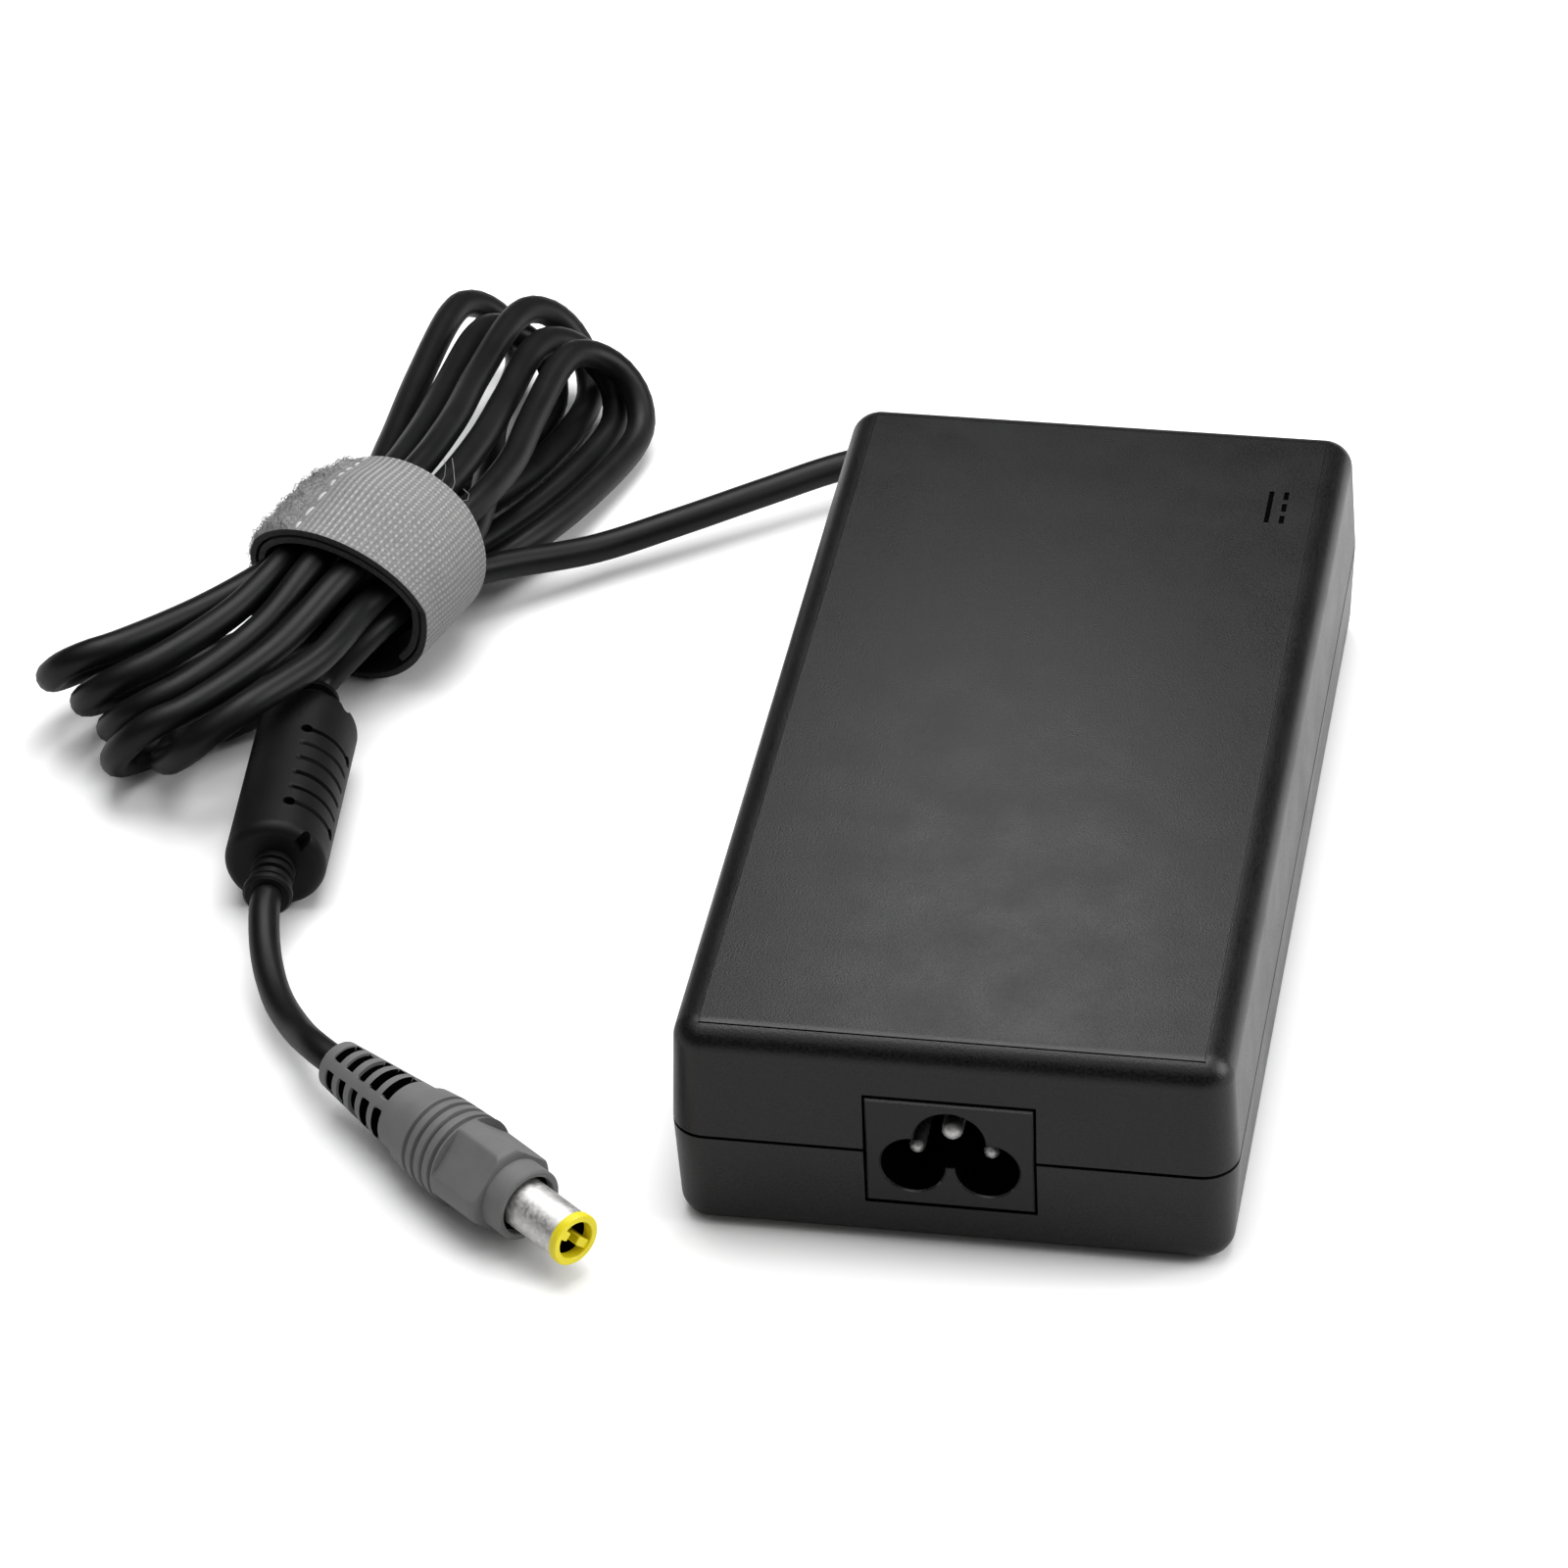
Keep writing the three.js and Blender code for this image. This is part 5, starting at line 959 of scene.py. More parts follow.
LONG_KEY_REACH = 0.75
LONG_KEY_RECESS = 0.35
KEY_ROOT = 0.3  # of each key in the insulator's wall
KEY_SOFT_EDGE = 0.15
CENTRE_PIN_RADIUS = 0.4
CENTRE_PIN_RECESS = 3
CENTRE_PIN_TURNS = 24
CENTRE_PIN_HOLE = 0.3  # round the pin, in radius
SLOT_LIP = 0.35  # of the boot's slots, down to where they are in shade
FACE_MARGIN = 0.05  # by which a face's middle may lie off the surface that it belongs to


def plug_radius(along, angles):
    profile = (
        (0, BOOT_START_RADIUS - 0.5),
        (0.5, BOOT_START_RADIUS),
        (BOOT_END, BOOT_END_RADIUS),
        (RING_ZONE_START - 0.2, BOOT_END_RADIUS + 0.15),
        (RING_ZONE_START, RING_ZONE_START_RADIUS),
        (FIRST_RING_GROOVE, RING_ZONE_RADIUS + 0.1),
        (GRIP_START - 0.4, RING_ZONE_RADIUS + 0.1 * RING_GROOVES),
        (GRIP_START, GRIP_RADIUS),
        (GRIP_END - GRIP_ROUNDING, GRIP_RADIUS),
        (GRIP_END - 0.3 * GRIP_ROUNDING, GRIP_RADIUS - 0.3 * GRIP_ROUNDING),
        (GRIP_END, GRIP_RADIUS - GRIP_ROUNDING),
        (GRIP_END + 0.01, COLLAR_RADIUS),
        (COLLAR_END - 0.3, COLLAR_RADIUS),
        (COLLAR_END, COLLAR_RADIUS - 0.3),
    )
    radius = np.interp(along, *zip(*profile))
    for ring in range(RING_GROOVES):
        middle = FIRST_RING_GROOVE + ring * RING_GROOVE_PITCH + RING_GROOVE_WIDTH / 2
        off = abs(along - middle)
        inner_edge, outer_edge = RING_GROOVE_EDGE
        wall = RING_GROOVE_WIDTH / 2
        radius -= RING_GROOVE_DEPTH * (1 - ease(off, wall - inner_edge, wall + outer_edge))
    radii = np.full(angles.shape, radius)
    if GRIP_START <= along <= GRIP_END:
        from_flat = (angles % (math.pi / 2)) - math.pi / 4
        radii = np.minimum(radii, GRIP_FLAT_DISTANCE / np.cos(from_flat))
    slot = round((along - BOOT_FIRST_SLOT) / BOOT_SLOT_PITCH)
    if 0 <= slot < BOOT_SLOTS:
        off = abs(along - BOOT_FIRST_SLOT - slot * BOOT_SLOT_PITCH)
        depth = 1 - ease(off, BOOT_SLOT_WIDTH / 2 - BOOT_SLOT_EDGE, BOOT_SLOT_WIDTH / 2 + BOOT_SLOT_EDGE)
        from_spine = np.abs((angles % (math.pi / 2)) - math.pi / 4)
        spine = np.arcsin(BOOT_SPINE_WIDTH / 2 / radius)
        open_here = ease(from_spine, spine - BOOT_SPINE_EDGE[0], spine + BOOT_SPINE_EDGE[1])
        radii = radii - (radii - BOOT_CORE_RADIUS) * depth * open_here
    return radii


def profile_rings(start, way, profile, turns):
    """Rings about an axis through a profile of [distance along it, radius]."""
    rings = []
    for along, radius in profile:
        rings += turned_rings(start, way, (along,), turns, lambda station, angles: radius)
    return rings


plug_plastic = surfaced(
    "grey plug moulding",
    (0.17, 0.17, 0.172),
    (0.2, 0.2, 0.202),
    4,
    0.3,
    (0.5, 0.65),
    0.012,
    Specular_IOR_Level=0.3,
)
# Painted shade: a near-black copy with no reflection, put on the faces of slots, recesses, bores and sunk
# marks that lie in deep shade.
slot_shadow = surfaced(
    "deep shade",
    (0.002, 0.002, 0.002),
    (0.003, 0.003, 0.003),
    2,
    0.3,
    (0.7, 0.8),
    0.01,
    Specular_IOR_Level=0.0,
)
plated_nickel = surfaced(
    "plated nickel", (0.46, 0.46, 0.45), (0.76, 0.75, 0.74), 1.1, 0.5, (0.42, 0.68), 0.012, 0.5, Metallic=1.0
)
yellow_insulator = surfaced(
    "yellow insulator", (0.94, 0.79, 0.01), (1.0, 0.86, 0.015), 3, 0.3, (0.35, 0.5), 0.006
)

plug_stations = np.concatenate((np.arange(0, COLLAR_END, PLUG_STEP), (GRIP_END + 0.01, COLLAR_END)))
plug_rings = turned_rings(plug_at(0), plug_way, sorted(plug_stations), PLUG_TURNS, plug_radius)
recess_radius, recess_depth = COLLAR_RECESS
recess_profile = (
    (COLLAR_END, recess_radius + 0.15),
    (COLLAR_END - 0.15, recess_radius),
    (COLLAR_END - recess_depth, recess_radius),
)
plug_rings += profile_rings(plug_at(0), plug_way, recess_profile, PLUG_TURNS)


def place_on_plug(face):
    """How far along the plug a face's middle is, and how far from its axis."""
    from_start = np.array(face.center) / MM - np.array(plug_at(0))
    along = from_start @ plug_way
    return along, np.linalg.norm(from_start - along * plug_way)


plug_body = piece("plug_moulding", *skin(plug_rings), plug_plastic, slot_shadow, sharp=40)
# The boot's slot walls and floors, and the floor of the recess round the barrel, get the painted shade.
for face in plug_body.data.polygons:
    along, from_axis = place_on_plug(face)
    boot_surface = BOOT_START_RADIUS + (BOOT_END_RADIUS - BOOT_START_RADIUS) * along / BOOT_END
    in_slot = along < BOOT_END and from_axis < boot_surface - SLOT_LIP and len(face.vertices) == 4
    recess_floor = along > COLLAR_END - recess_depth - 0.1 and from_axis < BARREL_RADIUS / 2
    face.material_index = 1 if in_slot or recess_floor else 0
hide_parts("plug_body")

barrel_inner = BARREL_RADIUS - BARREL_WALL
barrel_profile = (
    (BARREL_ROOT, barrel_inner),
    (BARREL_ROOT, BARREL_RADIUS),
    (BARREL_END - 0.35, BARREL_RADIUS),
    (BARREL_END - 0.1, BARREL_RADIUS - 0.08),
    (BARREL_END, BARREL_RADIUS - 0.3),
    (BARREL_END, barrel_inner),
)
barrel_rings = profile_rings(plug_at(0), plug_way, barrel_profile, PLUG_TURNS)
plug_barrel = piece("plug_barrel_sleeve", *skin(barrel_rings, closed=True), plated_nickel)
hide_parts("plug_barrel")

bore_start = TIP_END - TIP_BORE_DEPTH
tip_profile = (
    (BARREL_ROOT + 1, CENTRE_PIN_RADIUS + CENTRE_PIN_HOLE),
    (BARREL_ROOT + 1, barrel_inner - 0.1),
    (BARREL_END, barrel_inner - 0.1),
    (BARREL_END + 0.15, TIP_RADIUS - 0.15),
    (TIP_START, TIP_RADIUS),
    (TIP_END - 0.25, TIP_RADIUS),
    (TIP_END, TIP_RADIUS - 0.25),
    (TIP_END, TIP_BORE_RADIUS + 0.12),
    (TIP_END - 0.12, TIP_BORE_RADIUS),
    (TIP_END - TIP_BORE_LIT, TIP_BORE_RADIUS),
    (bore_start, TIP_BORE_RADIUS),
    (bore_start, CENTRE_PIN_RADIUS + CENTRE_PIN_HOLE),
)
tip_points, tip_faces = skin(profile_rings(plug_at(0), plug_way, tip_profile, PLUG_TURNS), closed=True)


def key_bar(side, reach, recess):
    """One key: a bar in the bore, from the insulator's wall towards the axis."""
    out = side * (right_of(plug_way) * math.cos(KEY_TURN) - UP * math.sin(KEY_TURN))
    across = np.cross(plug_way, out)
    far = TIP_BORE_RADIUS + KEY_ROOT
    half = KEY_WIDTH / 2
    outline = [(far, half), (reach + KEY_SOFT_EDGE, half), (reach, half - KEY_SOFT_EDGE)]
    outline += [(along, -width) for along, width in outline[::-1]]
    top = TIP_END - recess
    rings = []
    for station, shrink in ((bore_start - 0.2, 0), (top - KEY_SOFT_EDGE, 0), (top, KEY_SOFT_EDGE)):
        ring = []
        for along, width in outline:
            reached = along + (shrink if along < far else 0)
            ring.append(np.array(plug_at(station)) + out * reached + across * width)
        rings.append(np.array(ring))
    return skin(rings)


for side, reach, recess in ((1, SHORT_KEY_REACH, SHORT_KEY_RECESS), (-1, LONG_KEY_REACH, LONG_KEY_RECESS)):
    key_points, key_faces = key_bar(side, reach, recess)
    tip_faces += [tuple(i + len(tip_points) for i in face) for face in key_faces]
    tip_points = np.vstack((tip_points, key_points))
plug_tip = piece("plug_insulator", tip_points, tip_faces, yellow_insulator, slot_shadow)
# The bore's wall deeper than its lit rim, and the bore's floor, get the painted shade.
for face in plug_tip.data.polygons:
    along, from_axis = place_on_plug(face)
    deep = bore_start + 1 < along < TIP_END - TIP_BORE_LIT
    on_wall = deep and TIP_BORE_RADIUS - 0.1 < from_axis < TIP_BORE_RADIUS + FACE_MARGIN
    at_floor = abs(along - bore_start) < FACE_MARGIN
    face.material_index = 1 if on_wall or at_floor else 0
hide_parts("plug_tip_insulator")

pin_end = BARREL_END - CENTRE_PIN_RECESS
centre_pin_profile = (
    (BARREL_ROOT, CENTRE_PIN_RADIUS),
    (pin_end - 0.3, CENTRE_PIN_RADIUS),
    (pin_end - 0.1, CENTRE_PIN_RADIUS * 0.8),
    (pin_end, CENTRE_PIN_RADIUS * 0.4),
)
centre_pin_rings = profile_rings(plug_at(0), plug_way, centre_pin_profile, CENTRE_PIN_TURNS)
centre_pin = piece("plug_centre_contact", *skin(centre_pin_rings), plated_nickel)
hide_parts("plug_centre_pin")

# ---------------------------------------------------------------- housing
# Two black moulded half shells with a fine sparked texture, joined by a tongue and welded along the
# parting line. A fine frame line is sunk in the top, and a small sign of direct current near its far
# right corner.

HOUSING_LENGTH = 170
HOUSING_WIDTH = 84
HOUSING_HEIGHT = 36.5
PARTING_HEIGHT = 17.35
PARTING_GAP = 0.5
WALL = 2.2
PLAN_CORNER_RADIUS = 5.5
LEAST_CORNER_RADIUS = 0.8
DRAFT = 0.048
TOP_FILLET = 3.9
BOTTOM_FILLET = 3.6
FILLET_STEPS = 12
CORNER_STEPS = 14
LIP_ROUNDING = 0.12
TONGUE_HEIGHT = 1.5
TONGUE_THICKNESS = 0.9
CLEARANCE = 0.3
FRAME_LINE_SIDE_INSET = 4.8
FRAME_LINE_END_INSET = 3.3
FRAME_LINE_WIDTH = 0.24
FRAME_LINE_DEPTH = 0.18
END_LINE_DROP = 0.31  # of the top's fillet under the lines along the two ends
MARK_LENGTH = 9
MARK_BAR_WIDTH = 0.8
MARK_DASHES = 3
MARK_DASH_GAP = 1.2
MARK_ROW_GAP = 1.6
MARK_DEPTH = 0.25
MARK_FROM_SIDE = 11
MARK_FROM_END = 24
INLET_WIDTH = 24.8
INLET_HEIGHT = 18.8
INLET_CENTRE_HEIGHT = 17.6
INLET_GAP = 0.42
INLET_FOOT_GAP = 0.8  # under the block, where the gap is widest
RELIEF_NECK_RADIUS = 5.2
RELIEF_HOLE_TURNS = 48


def draft_at(z):
    return DRAFT * abs(z - PARTING_HEIGHT)


def outline_ring(inset, z):
    """The housing's outline in plan, drawn in by an inset, at a height."""
    radius = max(PLAN_CORNER_RADIUS - inset, LEAST_CORNER_RADIUS)
    x = HOUSING_WIDTH / 2 - inset - radius
    y = HOUSING_LENGTH / 2 - inset - radius
    ring = []
    for corner, (cx, cy) in enumerate(((x, y), (-x, y), (-x, -y), (x, -y))):
        for i in range(CORNER_STEPS + 1):
            angle = (corner + i / CORNER_STEPS) * math.pi / 2
            ring.append((cx + radius * math.cos(angle), cy + radius * math.sin(angle), z))
    return np.array(ring)


def fillet_steps(edge_height, towards_parting, radius):
    """Insets and heights round an edge fillet, from the flat face to the side."""
    steps = []
    for i in range(FILLET_STEPS + 1):
        angle = i / FILLET_STEPS * math.pi / 2
        z = edge_height + towards_parting * radius * (1 - math.cos(angle))
        steps.append((draft_at(z) + radius * (1 - math.sin(angle)), z))
    return steps


def shell_rings(edge_height, towards_parting, fillet, lip, inner):
    """A half shell: its outside from the flat face to the lip, then its inside back from the lip."""
    profile = fillet_steps(edge_height, towards_parting, fillet)
    profile += [(draft_at(lip) + 0.02, lip - towards_parting * LIP_ROUNDING * 1.2)]
    profile += [(draft_at(lip) + LIP_ROUNDING * 0.3, lip - towards_parting * LIP_ROUNDING * 0.3)]
    profile += [(draft_at(lip) + LIP_ROUNDING, lip)]
    return [outline_ring(inset, z) for inset, z in profile + inner]


def box_faces(low, high):
    """Points and faces of a block between two corners."""
    (x0, y0, z0), (x1, y1, z1) = low, high
    near = np.array([(x0, y0, z0), (x1, y0, z0), (x1, y0, z1), (x0, y0, z1)], float)
    far = near + np.array((0, y1 - y0, 0))
    return skin([near, far])


tongue_root = PARTING_HEIGHT - PARTING_GAP / 2
rebate_mouth = PARTING_HEIGHT + PARTING_GAP / 2
tongue_top = tongue_root + TONGUE_HEIGHT
tongue_face = WALL - TONGUE_THICKNESS
rebate_top = tongue_top + CLEARANCE
ceiling = HOUSING_HEIGHT - WALL
housing_plastic = surfaced(
    "sparked black plastic",
    (0.002, 0.002, 0.0022),
    (0.009, 0.009, 0.0092),
    9,
    0.32,
    (0.28, 0.41),
    0.03,
    1.1,
    Specular_IOR_Level=0.31,
)

bottom_inside = [(tongue_face, tongue_root), (tongue_face, tongue_top), (WALL, tongue_top)]
bottom_inside += [(WALL + draft_at(BOTTOM_FILLET), BOTTOM_FILLET), (BOTTOM_FILLET + draft_at(WALL), WALL)]
bottom_rings = shell_rings(0, 1, BOTTOM_FILLET, tongue_root, bottom_inside)
bottom_shell = piece("lower_half_shell", *skin(bottom_rings), housing_plastic)
rebate_face = tongue_face - CLEARANCE
top_inside = [(rebate_face, rebate_mouth), (rebate_face, rebate_top), (WALL, rebate_top)]
top_inside += [(WALL + draft_at(HOUSING_HEIGHT - TOP_FILLET), HOUSING_HEIGHT - TOP_FILLET)]
top_inside += [(TOP_FILLET + draft_at(ceiling), ceiling)]
top_rings = shell_rings(HOUSING_HEIGHT, -1, TOP_FILLET, rebate_mouth, top_inside)
top_shell = piece("upper_half_shell", *skin(top_rings), housing_plastic, slot_shadow)

inlet_half = INLET_WIDTH / 2
inlet_foot = INLET_CENTRE_HEIGHT - INLET_HEIGHT / 2
inlet_head = INLET_CENTRE_HEIGHT + INLET_HEIGHT / 2
inlet_window = box_faces(
    (-inlet_half - INLET_GAP, -FAR_FACE - 1, inlet_foot - INLET_FOOT_GAP),
    (inlet_half + INLET_GAP, -FAR_FACE + 2 * WALL, inlet_head + INLET_GAP),
)
hole_radius = RELIEF_NECK_RADIUS + CLEARANCE
hole_profile = ((FAR_FACE - 1.5 * WALL, hole_radius), (FAR_FACE + WALL, hole_radius))
relief_hole = skin(profile_rings((0, 0, EXIT_HEIGHT), (0, 1, 0), hole_profile, RELIEF_HOLE_TURNS))
for shell in (bottom_shell, top_shell):
    cut_with(shell, *inlet_window)
    cut_with(shell, *relief_hole)

line_x = HOUSING_WIDTH / 2 - FRAME_LINE_SIDE_INSET
line_y = HOUSING_LENGTH / 2 - FRAME_LINE_END_INSET
side_floor = HOUSING_HEIGHT - FRAME_LINE_DEPTH
above_top = HOUSING_HEIGHT + 1
for sign in (-1, 1):
    x0, x1 = sorted((sign * line_x, sign * (line_x - FRAME_LINE_WIDTH)))
    y0, y1 = sorted((sign * line_y, sign * (line_y - FRAME_LINE_WIDTH)))
    cut_with(top_shell, *box_faces((x0, -line_y, side_floor), (x1, line_y, above_top)))
    cut_with(top_shell, *box_faces((-line_x, y0, side_floor - END_LINE_DROP), (line_x, y1, above_top)))

mark_x = HOUSING_WIDTH / 2 - MARK_FROM_SIDE
mark_start = HOUSING_LENGTH / 2 - MARK_FROM_END - MARK_LENGTH / 2
dash = (MARK_LENGTH - (MARK_DASHES - 1) * MARK_DASH_GAP) / MARK_DASHES
mark_bars = [(mark_x - MARK_ROW_GAP / 2 - MARK_BAR_WIDTH, mark_start, MARK_LENGTH)]
mark_bars += [
    (mark_x + MARK_ROW_GAP / 2, mark_start + i * (dash + MARK_DASH_GAP), dash) for i in range(MARK_DASHES)
]
mark_floor = HOUSING_HEIGHT - MARK_DEPTH
for x, y, length in mark_bars:
    cut_with(top_shell, *box_faces((x, y, mark_floor), (x + MARK_BAR_WIDTH, y + length, above_top)))
for shell, node in ((bottom_shell, "bottom_shell"), (top_shell, "top_shell")):
    finished(shell)
    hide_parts(node)
# The floors and walls of the mark's sunk bars get the painted shade.
for face in top_shell.data.polygons:
    x, y, z = np.array(face.center) / MM
    sunk = mark_floor - 0.02 < z < HOUSING_HEIGHT - FACE_MARGIN
    beside = abs(x - mark_x) < MARK_ROW_GAP / 2 + MARK_BAR_WIDTH + FACE_MARGIN
    if sunk and beside and mark_start - FACE_MARGIN < y < mark_start + MARK_LENGTH + FACE_MARGIN:
        face.material_index = 1

# ---------------------------------------------------------------- mains inlet
# A moulded block with a three-lobed recess, let into the near end. The flange that holds it behind the
# wall isn't seen, and only the solid has it. Three plated pins with rounded tips stand in the recess.

INLET_DEPTH = 19
INLET_EDGE_ROUNDING = 0.25
CAVITY_DEPTH = 14
CAVITY_CHAMFER = 0.25
LIP_LOOKS_FORWARDS = 0.3  # at least, of its normal
LIP_LOOKS_UP = 0.4
LOWER_LOBE_RADIUS = 4.8
LOWER_LOBE_OFFSET = 5.5
LOWER_LOBE_DROP = 2.3
UPPER_LOBE_RADIUS = 5.3
UPPER_LOBE_RISE = 2.4
LIVE_PIN_RADIUS = 1.2
LIVE_PIN_RECESS = 3.8
EARTH_PIN_RADIUS = 1.6
EARTH_PIN_RECESS = 2
PIN_TAIL = 3.5  # behind the block
PIN_TURNS = 40
LOBE_STEPS = 24

near_face = -FAR_FACE
lower_lobe_height = INLET_CENTRE_HEIGHT - LOWER_LOBE_DROP
upper_lobe_height = INLET_CENTRE_HEIGHT + UPPER_LOBE_RISE


def recess_outline(grow=0):
    """The three-lobed outline in (x, z), anticlockwise from the right lobe's foot, drawn out by a margin."""
    side = np.array((LOWER_LOBE_OFFSET, lower_lobe_height))
    top = np.array((0, upper_lobe_height))
    side_radius, top_radius = LOWER_LOBE_RADIUS + grow, UPPER_LOBE_RADIUS + grow
    apart = np.linalg.norm(side - top)
    to_top = math.atan2(*(top - side)[::-1])
    opened = math.acos((apart**2 + side_radius**2 - top_radius**2) / (2 * apart * side_radius))
    meet = side + side_radius * np.array((math.cos(to_top - opened), math.sin(to_top - opened)))
    half = []
    for angle in np.linspace(-math.pi, to_top - opened, LOBE_STEPS):
        half.append(side + side_radius * np.array((math.cos(angle), math.sin(angle))))
    from_angle = math.atan2(*(meet - top)[::-1])
    for angle in np.linspace(from_angle, math.pi / 2, LOBE_STEPS // 2)[1:]:
        half.append(top + top_radius * np.array((math.cos(angle), math.sin(angle))))
    mirrored = [(-x, z) for x, z in half[-2::-1]]
    return [tuple(p) for p in half] + mirrored


inlet_plastic = surfaced(
    "inlet plastic",
    (0.0035, 0.0035, 0.0037),
    (0.006, 0.006, 0.0062),
    6,
    0.3,
    (0.38, 0.46),
    0.03,
    0.6,
    Specular_IOR_Level=0.31,
)


def inlet_rings():
    """The block's corners, from its softened front edge to its back."""
    rings = []
    for inset, y in ((INLET_EDGE_ROUNDING, 0), (0, INLET_EDGE_ROUNDING), (0, INLET_DEPTH)):
        x, foot, head = inlet_half - inset, inlet_foot + inset, inlet_head - inset
        corners = ((-x, foot), (x, foot), (x, head), (-x, head))
        rings.append(np.array([(along, near_face + y, height) for along, height in corners]))
    return rings


# Painted highlight: a paler and glossier copy of the inlet plastic, for the faces of the block that look up
# and forwards.
painted_lip_highlight = surfaced(
    "painted lip highlight",
    (0.01, 0.01, 0.01),
    (0.014, 0.014, 0.014),
    2,
    0.3,
    (0.2, 0.3),
    0.01,
    Specular_IOR_Level=1.0,
)
inlet = piece("inlet_block", *skin(inlet_rings()), inlet_plastic, slot_shadow, painted_lip_highlight)
cavity_steps = (
    (-1, CAVITY_CHAMFER),
    (0, CAVITY_CHAMFER),
    (CAVITY_CHAMFER, 0),
    (CAVITY_DEPTH, 0),
)
cavity_rings = []
for y, grow in cavity_steps:
    cavity_rings.append(np.array([(x, near_face + y, z) for x, z in recess_outline(grow)]))
cut_with(inlet, *skin(cavity_rings))
# Inside the recess, behind its front, the walls and floor get the painted shade.
for face in inlet.data.polygons:
    x, y, z = np.array(face.center) / MM
    behind_front = near_face + 0.3 < y < near_face + INLET_DEPTH - 1
    beside = abs(x) < inlet_half - 0.5
    level = abs(z - INLET_CENTRE_HEIGHT) < INLET_HEIGHT / 2 - 0.5
    face.material_index = 1 if behind_front and beside and level else 0
    # Faces that look up and forwards get the painted lip highlight.
    if face.normal.y < -LIP_LOOKS_FORWARDS and face.normal.z > LIP_LOOKS_UP:
        face.material_index = 2
finished(inlet)
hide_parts("inlet_body")

pins = (
    ("line_pin", -LOWER_LOBE_OFFSET, lower_lobe_height, LIVE_PIN_RADIUS, LIVE_PIN_RECESS),
    ("neutral_pin", LOWER_LOBE_OFFSET, lower_lobe_height, LIVE_PIN_RADIUS, LIVE_PIN_RECESS),
    ("earth_pin", 0, upper_lobe_height, EARTH_PIN_RADIUS, EARTH_PIN_RECESS),
)
for node, x, z, radius, recess in pins:
    angles = np.linspace(0, math.pi / 2, 9)[1:]
    dome = [(radius * (1 - math.cos(a)) * 0.9, radius * math.sin(a)) for a in angles]
    profile = [(0, radius * 0.08)] + dome + [(INLET_DEPTH + PIN_TAIL - recess, radius)]
    rings = profile_rings((x, near_face + recess, z), (0, 1, 0), profile, PIN_TURNS)
    pin = piece(f"{node}_shank", *skin(rings), plated_nickel, sharp=50)
    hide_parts(node)

# ---------------------------------------------------------------- cord exit
# A soft tapered relief moulded round the cord, with ribs that let it bend. Its flange is trapped inside
# the far wall.

RELIEF_FLANGE_RADIUS = 7.4
RELIEF_FLANGE_THICKNESS = 2
RELIEF_ROOT_RADIUS = 6
RELIEF_TIP_RADIUS = 3.4
RELIEF_RIBS = 6
RELIEF_GROOVE_DEPTH = 0.8
RELIEF_GROOVE_SPAN = (0.5, 0.62, 0.92, 1)
RELIEF_TIP_ROUNDING = 0.35
RELIEF_STEP = 0.2
RELIEF_TURNS = 96

flange_face = FAR_FACE - WALL - draft_at(EXIT_HEIGHT - RELIEF_FLANGE_RADIUS) - CLEARANCE
relief_collar = FAR_FACE + CLEARANCE
relief_tip = FAR_FACE + RELIEF_LENGTH


def relief_radius(along, angles):
    if along < flange_face:
        return RELIEF_FLANGE_RADIUS
    if along < relief_collar:
        return RELIEF_NECK_RADIUS
    share = (along - relief_collar) / (relief_tip - relief_collar)
    radius = RELIEF_ROOT_RADIUS + (RELIEF_TIP_RADIUS - RELIEF_ROOT_RADIUS) * share
    radius -= RELIEF_GROOVE_DEPTH * ring_groove(share, RELIEF_RIBS, RELIEF_GROOVE_SPAN)
    return radius - RELIEF_TIP_ROUNDING * (1 - ease(relief_tip - along, 0, BOOT_TIP_ROUNDING))


relief_stations = sorted(
    {
        flange_face - RELIEF_FLANGE_THICKNESS,
        flange_face - 0.01,
        flange_face,
        relief_collar - 0.01,
        *np.arange(relief_collar, relief_tip, RELIEF_STEP),
        relief_tip,
    }
)
relief_rings = turned_rings((0, 0, EXIT_HEIGHT), (0, 1, 0), relief_stations, RELIEF_TURNS, relief_radius)
relief = piece("cord_exit_relief", *skin(relief_rings), ferrite_plastic, sharp=60)
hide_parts("housing_strain_relief")

# ---------------------------------------------------------------- parts inside
# The circuit board and what stands on it, between two aluminium sheets that spread the heat. They are
# bought parts, soldered in place, and keep the shapes of the frame.

INSIDE_FINISHES = {
    "board": surfaced("solder mask", (0.01, 0.07, 0.03), (0.015, 0.10, 0.045), 5, 0.5, (0.3, 0.45), 0.01),
    "aluminium": surfaced(
        "rolled aluminium", (0.55, 0.55, 0.56), (0.70, 0.70, 0.71), 6, 0.4, (0.3, 0.5), 0.01, Metallic=1.0
    ),
    "ferrite": surfaced(
        "sintered ferrite", (0.03, 0.03, 0.032), (0.05, 0.05, 0.052), 3, 0.3, (0.6, 0.8), 0.03
    ),
    "copper": surfaced(
        "enamelled copper", (0.55, 0.16, 0.05), (0.68, 0.24, 0.08), 2, 0.5, (0.2, 0.35), 0.05, Metallic=0.9
    ),
    "capacitor_sleeve": surfaced(
        "shrunk sleeve", (0.012, 0.012, 0.02), (0.02, 0.02, 0.032), 5, 0.6, (0.25, 0.4), 0.01
    ),
    "film": surfaced("insulating film", (0.62, 0.46, 0.10), (0.70, 0.54, 0.16), 6, 0.8, (0.25, 0.4), 0.01),
    "component": surfaced(
        "moulded epoxy", (0.015, 0.015, 0.016), (0.03, 0.03, 0.03), 3, 0.25, (0.5, 0.7), 0.02
    ),
    "ceramic": surfaced("dipped ceramic", (0.03, 0.09, 0.30), (0.05, 0.13, 0.38), 4, 0.6, (0.2, 0.35), 0.02),
    "cord_rubber": cord_sheath,
}
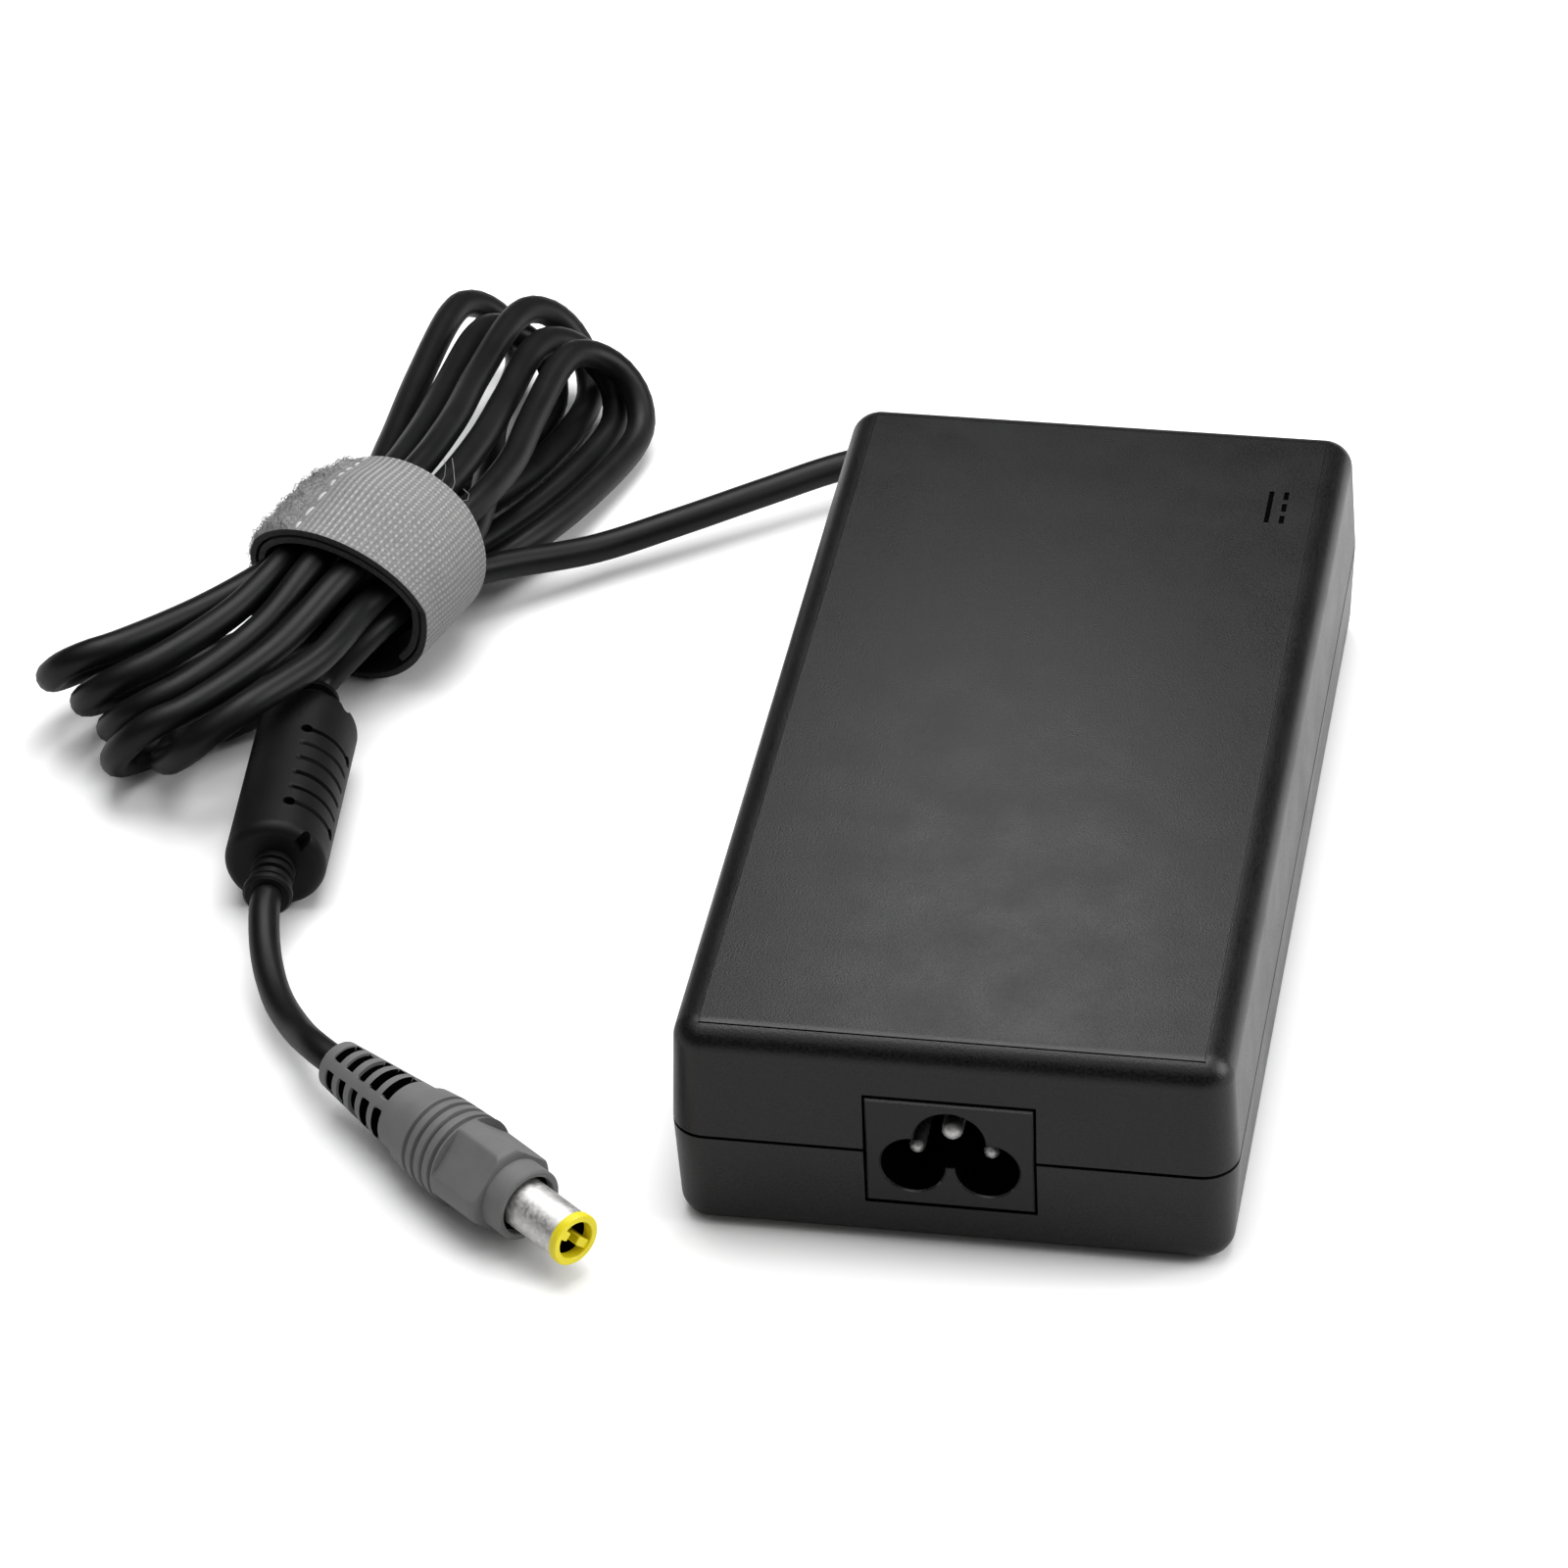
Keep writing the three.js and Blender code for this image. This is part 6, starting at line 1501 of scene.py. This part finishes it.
slot_of_node = {
    "circuit_board": "board",
    "insulation_sheet": "film",
    "lower_heat_spreader": "aluminium",
    "upper_heat_spreader": "aluminium",
    "primary_heatsink": "aluminium",
    "secondary_heatsink": "aluminium",
    "bridge_rectifier": "component",
    "power_factor_transistor": "component",
    "main_transistor": "component",
    "output_rectifier": "component",
    "fuse": "ceramic",
    "thermistor": "component",
    "varistor": "ceramic",
    "y_capacitor": "ceramic",
    "x_capacitor": "film",
    "line_choke_core": "ferrite",
    "line_choke_winding": "copper",
    "power_factor_inductor_core": "ferrite",
    "power_factor_inductor_winding": "copper",
    "transformer_core": "ferrite",
    "transformer_winding": "film",
    "bulk_capacitor": "capacitor_sleeve",
    "output_capacitor_1": "capacitor_sleeve",
    "output_capacitor_2": "capacitor_sleeve",
    "optocoupler": "component",
    "control_chip": "component",
    "output_lead": "cord_rubber",
    "ferrite_core": "ferrite",
}
for node, slot in slot_of_node.items():
    for material_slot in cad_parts[node].material_slots:
        material_slot.material = INSIDE_FINISHES[slot]

# ---------------------------------------------------------------- floor and light
# A white sheet of paper in a white tent, with broad lamps above and to the right and a small one close
# to the top. A grey curtain all round, seen only in reflections, keeps the black plastic from looking
# pale.

FLOOR_SIZE = 6000
FLOOR_WHITE = 0.9
FLOOR_LIFT = 0.42  # that the sheet adds, for the camera alone, to the light that it takes
CONTACT_REACH = 12  # from the object to where the sheet shows all of its lift
CONTACT_SPAN = (0.3, 0.92)  # of the openness over the sheet, from no lift to all of it
TENT_LIGHT = 0.16  # on the object, while the tent itself looks white
CURTAIN_RADIUS = 1400
CURTAIN_FOOT = 40
CURTAIN_HEAD = 1500
CURTAIN_STEPS = 48
CURTAIN_GREY = 0.1


def seen_by(tree, *rays):
    """1 for the kinds of ray that look at a backdrop, and 0 for the light that reaches the object."""
    paths = tree.nodes.new("ShaderNodeLightPath")
    seen = 0
    for ray in rays:
        seen = worked(tree, "MAXIMUM", seen, paths.outputs[ray])
    return seen


floor_mesh = bpy.data.meshes.new("floor")
corner = FLOOR_SIZE / 2 * MM
floor_corners = [(-corner, -corner, 0), (corner, -corner, 0), (corner, corner, 0), (-corner, corner, 0)]
floor_mesh.from_pydata(floor_corners, [], [(0, 1, 2, 3)])
floor = added("floor", floor_mesh)
paper = bpy.data.materials.new("white paper")
paper.use_nodes = True
paper_shader = paper.node_tree.nodes["Principled BSDF"]
paper_shader.inputs["Base Color"].default_value = (FLOOR_WHITE, FLOOR_WHITE, FLOOR_WHITE, 1)
paper_shader.inputs["Roughness"].default_value = 0.9
paper_shader.inputs["Specular IOR Level"].default_value = 0
paper_shader.inputs["Emission Color"].default_value = (1, 1, 1, 1)
looked_at = seen_by(paper.node_tree, "Is Camera Ray")
# The lift fades out near the object with the ambient occlusion: a painted contact shadow on the sheet, under
# and round the object.
openness = paper.node_tree.nodes.new("ShaderNodeAmbientOcclusion")
openness.inputs["Distance"].default_value = CONTACT_REACH * MM
away_from_object = ramped(paper.node_tree, openness.outputs["AO"], *CONTACT_SPAN)
lift = worked(paper.node_tree, "MULTIPLY", looked_at, FLOOR_LIFT)
lift = worked(paper.node_tree, "MULTIPLY", lift, away_from_object)
paper.node_tree.links.new(lift, paper_shader.inputs["Emission Strength"])
floor_mesh.materials.append(paper)

world = bpy.data.worlds.new("white tent")
bpy.context.scene.world = world
world.use_nodes = True
background = world.node_tree.nodes["Background"]
background.inputs["Color"].default_value = (1, 1, 1, 1)
looked_at = seen_by(world.node_tree, "Is Camera Ray", "Is Glossy Ray", "Is Transmission Ray")
strength = ramped(world.node_tree, looked_at, 0, 1, TENT_LIGHT, 1)
world.node_tree.links.new(strength, background.inputs["Strength"])

curtain_points, curtain_faces = [], []
for step in range(CURTAIN_STEPS + 1):
    turn = step / CURTAIN_STEPS * 2 * math.pi
    x, y = CURTAIN_RADIUS * math.cos(turn), CURTAIN_RADIUS * math.sin(turn)
    curtain_points += [(x * MM, y * MM, height * MM) for height in (CURTAIN_FOOT, CURTAIN_HEAD)]
    if step:
        curtain_faces.append((2 * step - 2, 2 * step - 1, 2 * step + 1, 2 * step))
curtain_mesh = bpy.data.meshes.new("grey_curtain")
curtain_mesh.from_pydata(curtain_points, [], curtain_faces)
curtain = added("grey_curtain", curtain_mesh)
curtain.visible_camera = curtain.visible_diffuse = curtain.visible_shadow = False
grey_cloth = bpy.data.materials.new("grey cloth")
grey_cloth.use_nodes = True
cloth_shader = grey_cloth.node_tree.nodes["Principled BSDF"]
cloth_shader.inputs["Base Color"].default_value = (CURTAIN_GREY, CURTAIN_GREY, CURTAIN_GREY, 1)
cloth_shader.inputs["Specular IOR Level"].default_value = 0
curtain_mesh.materials.append(grey_cloth)


def soft_lamp(name, place, target, size, watts):
    """A rectangular lamp in millimetres that looks at a point."""
    data = bpy.data.lights.new(name, "AREA")
    data.shape = "RECTANGLE"
    data.size, data.size_y = size[0] * MM, size[1] * MM
    data.energy = watts
    lamp = added(name, data)
    lamp.location = Vector(place) * MM
    lamp.rotation_euler = (Vector(target) - Vector(place)).to_track_quat("-Z", "Y").to_euler()
    lamp.visible_camera = False
    return lamp


soft_lamp("top lamp", (-60, 260, 1250), (0, 0, 20), (900, 950), 13.5)
soft_lamp("near lamp", (-50, 270, 305), (-8, -40, 36), (80, 100), 0.165)
soft_lamp("side lamp", (900, 100, 500), (0, 0, 20), (700, 700), 9)

bpy.context.scene.view_settings.view_transform = "Standard"
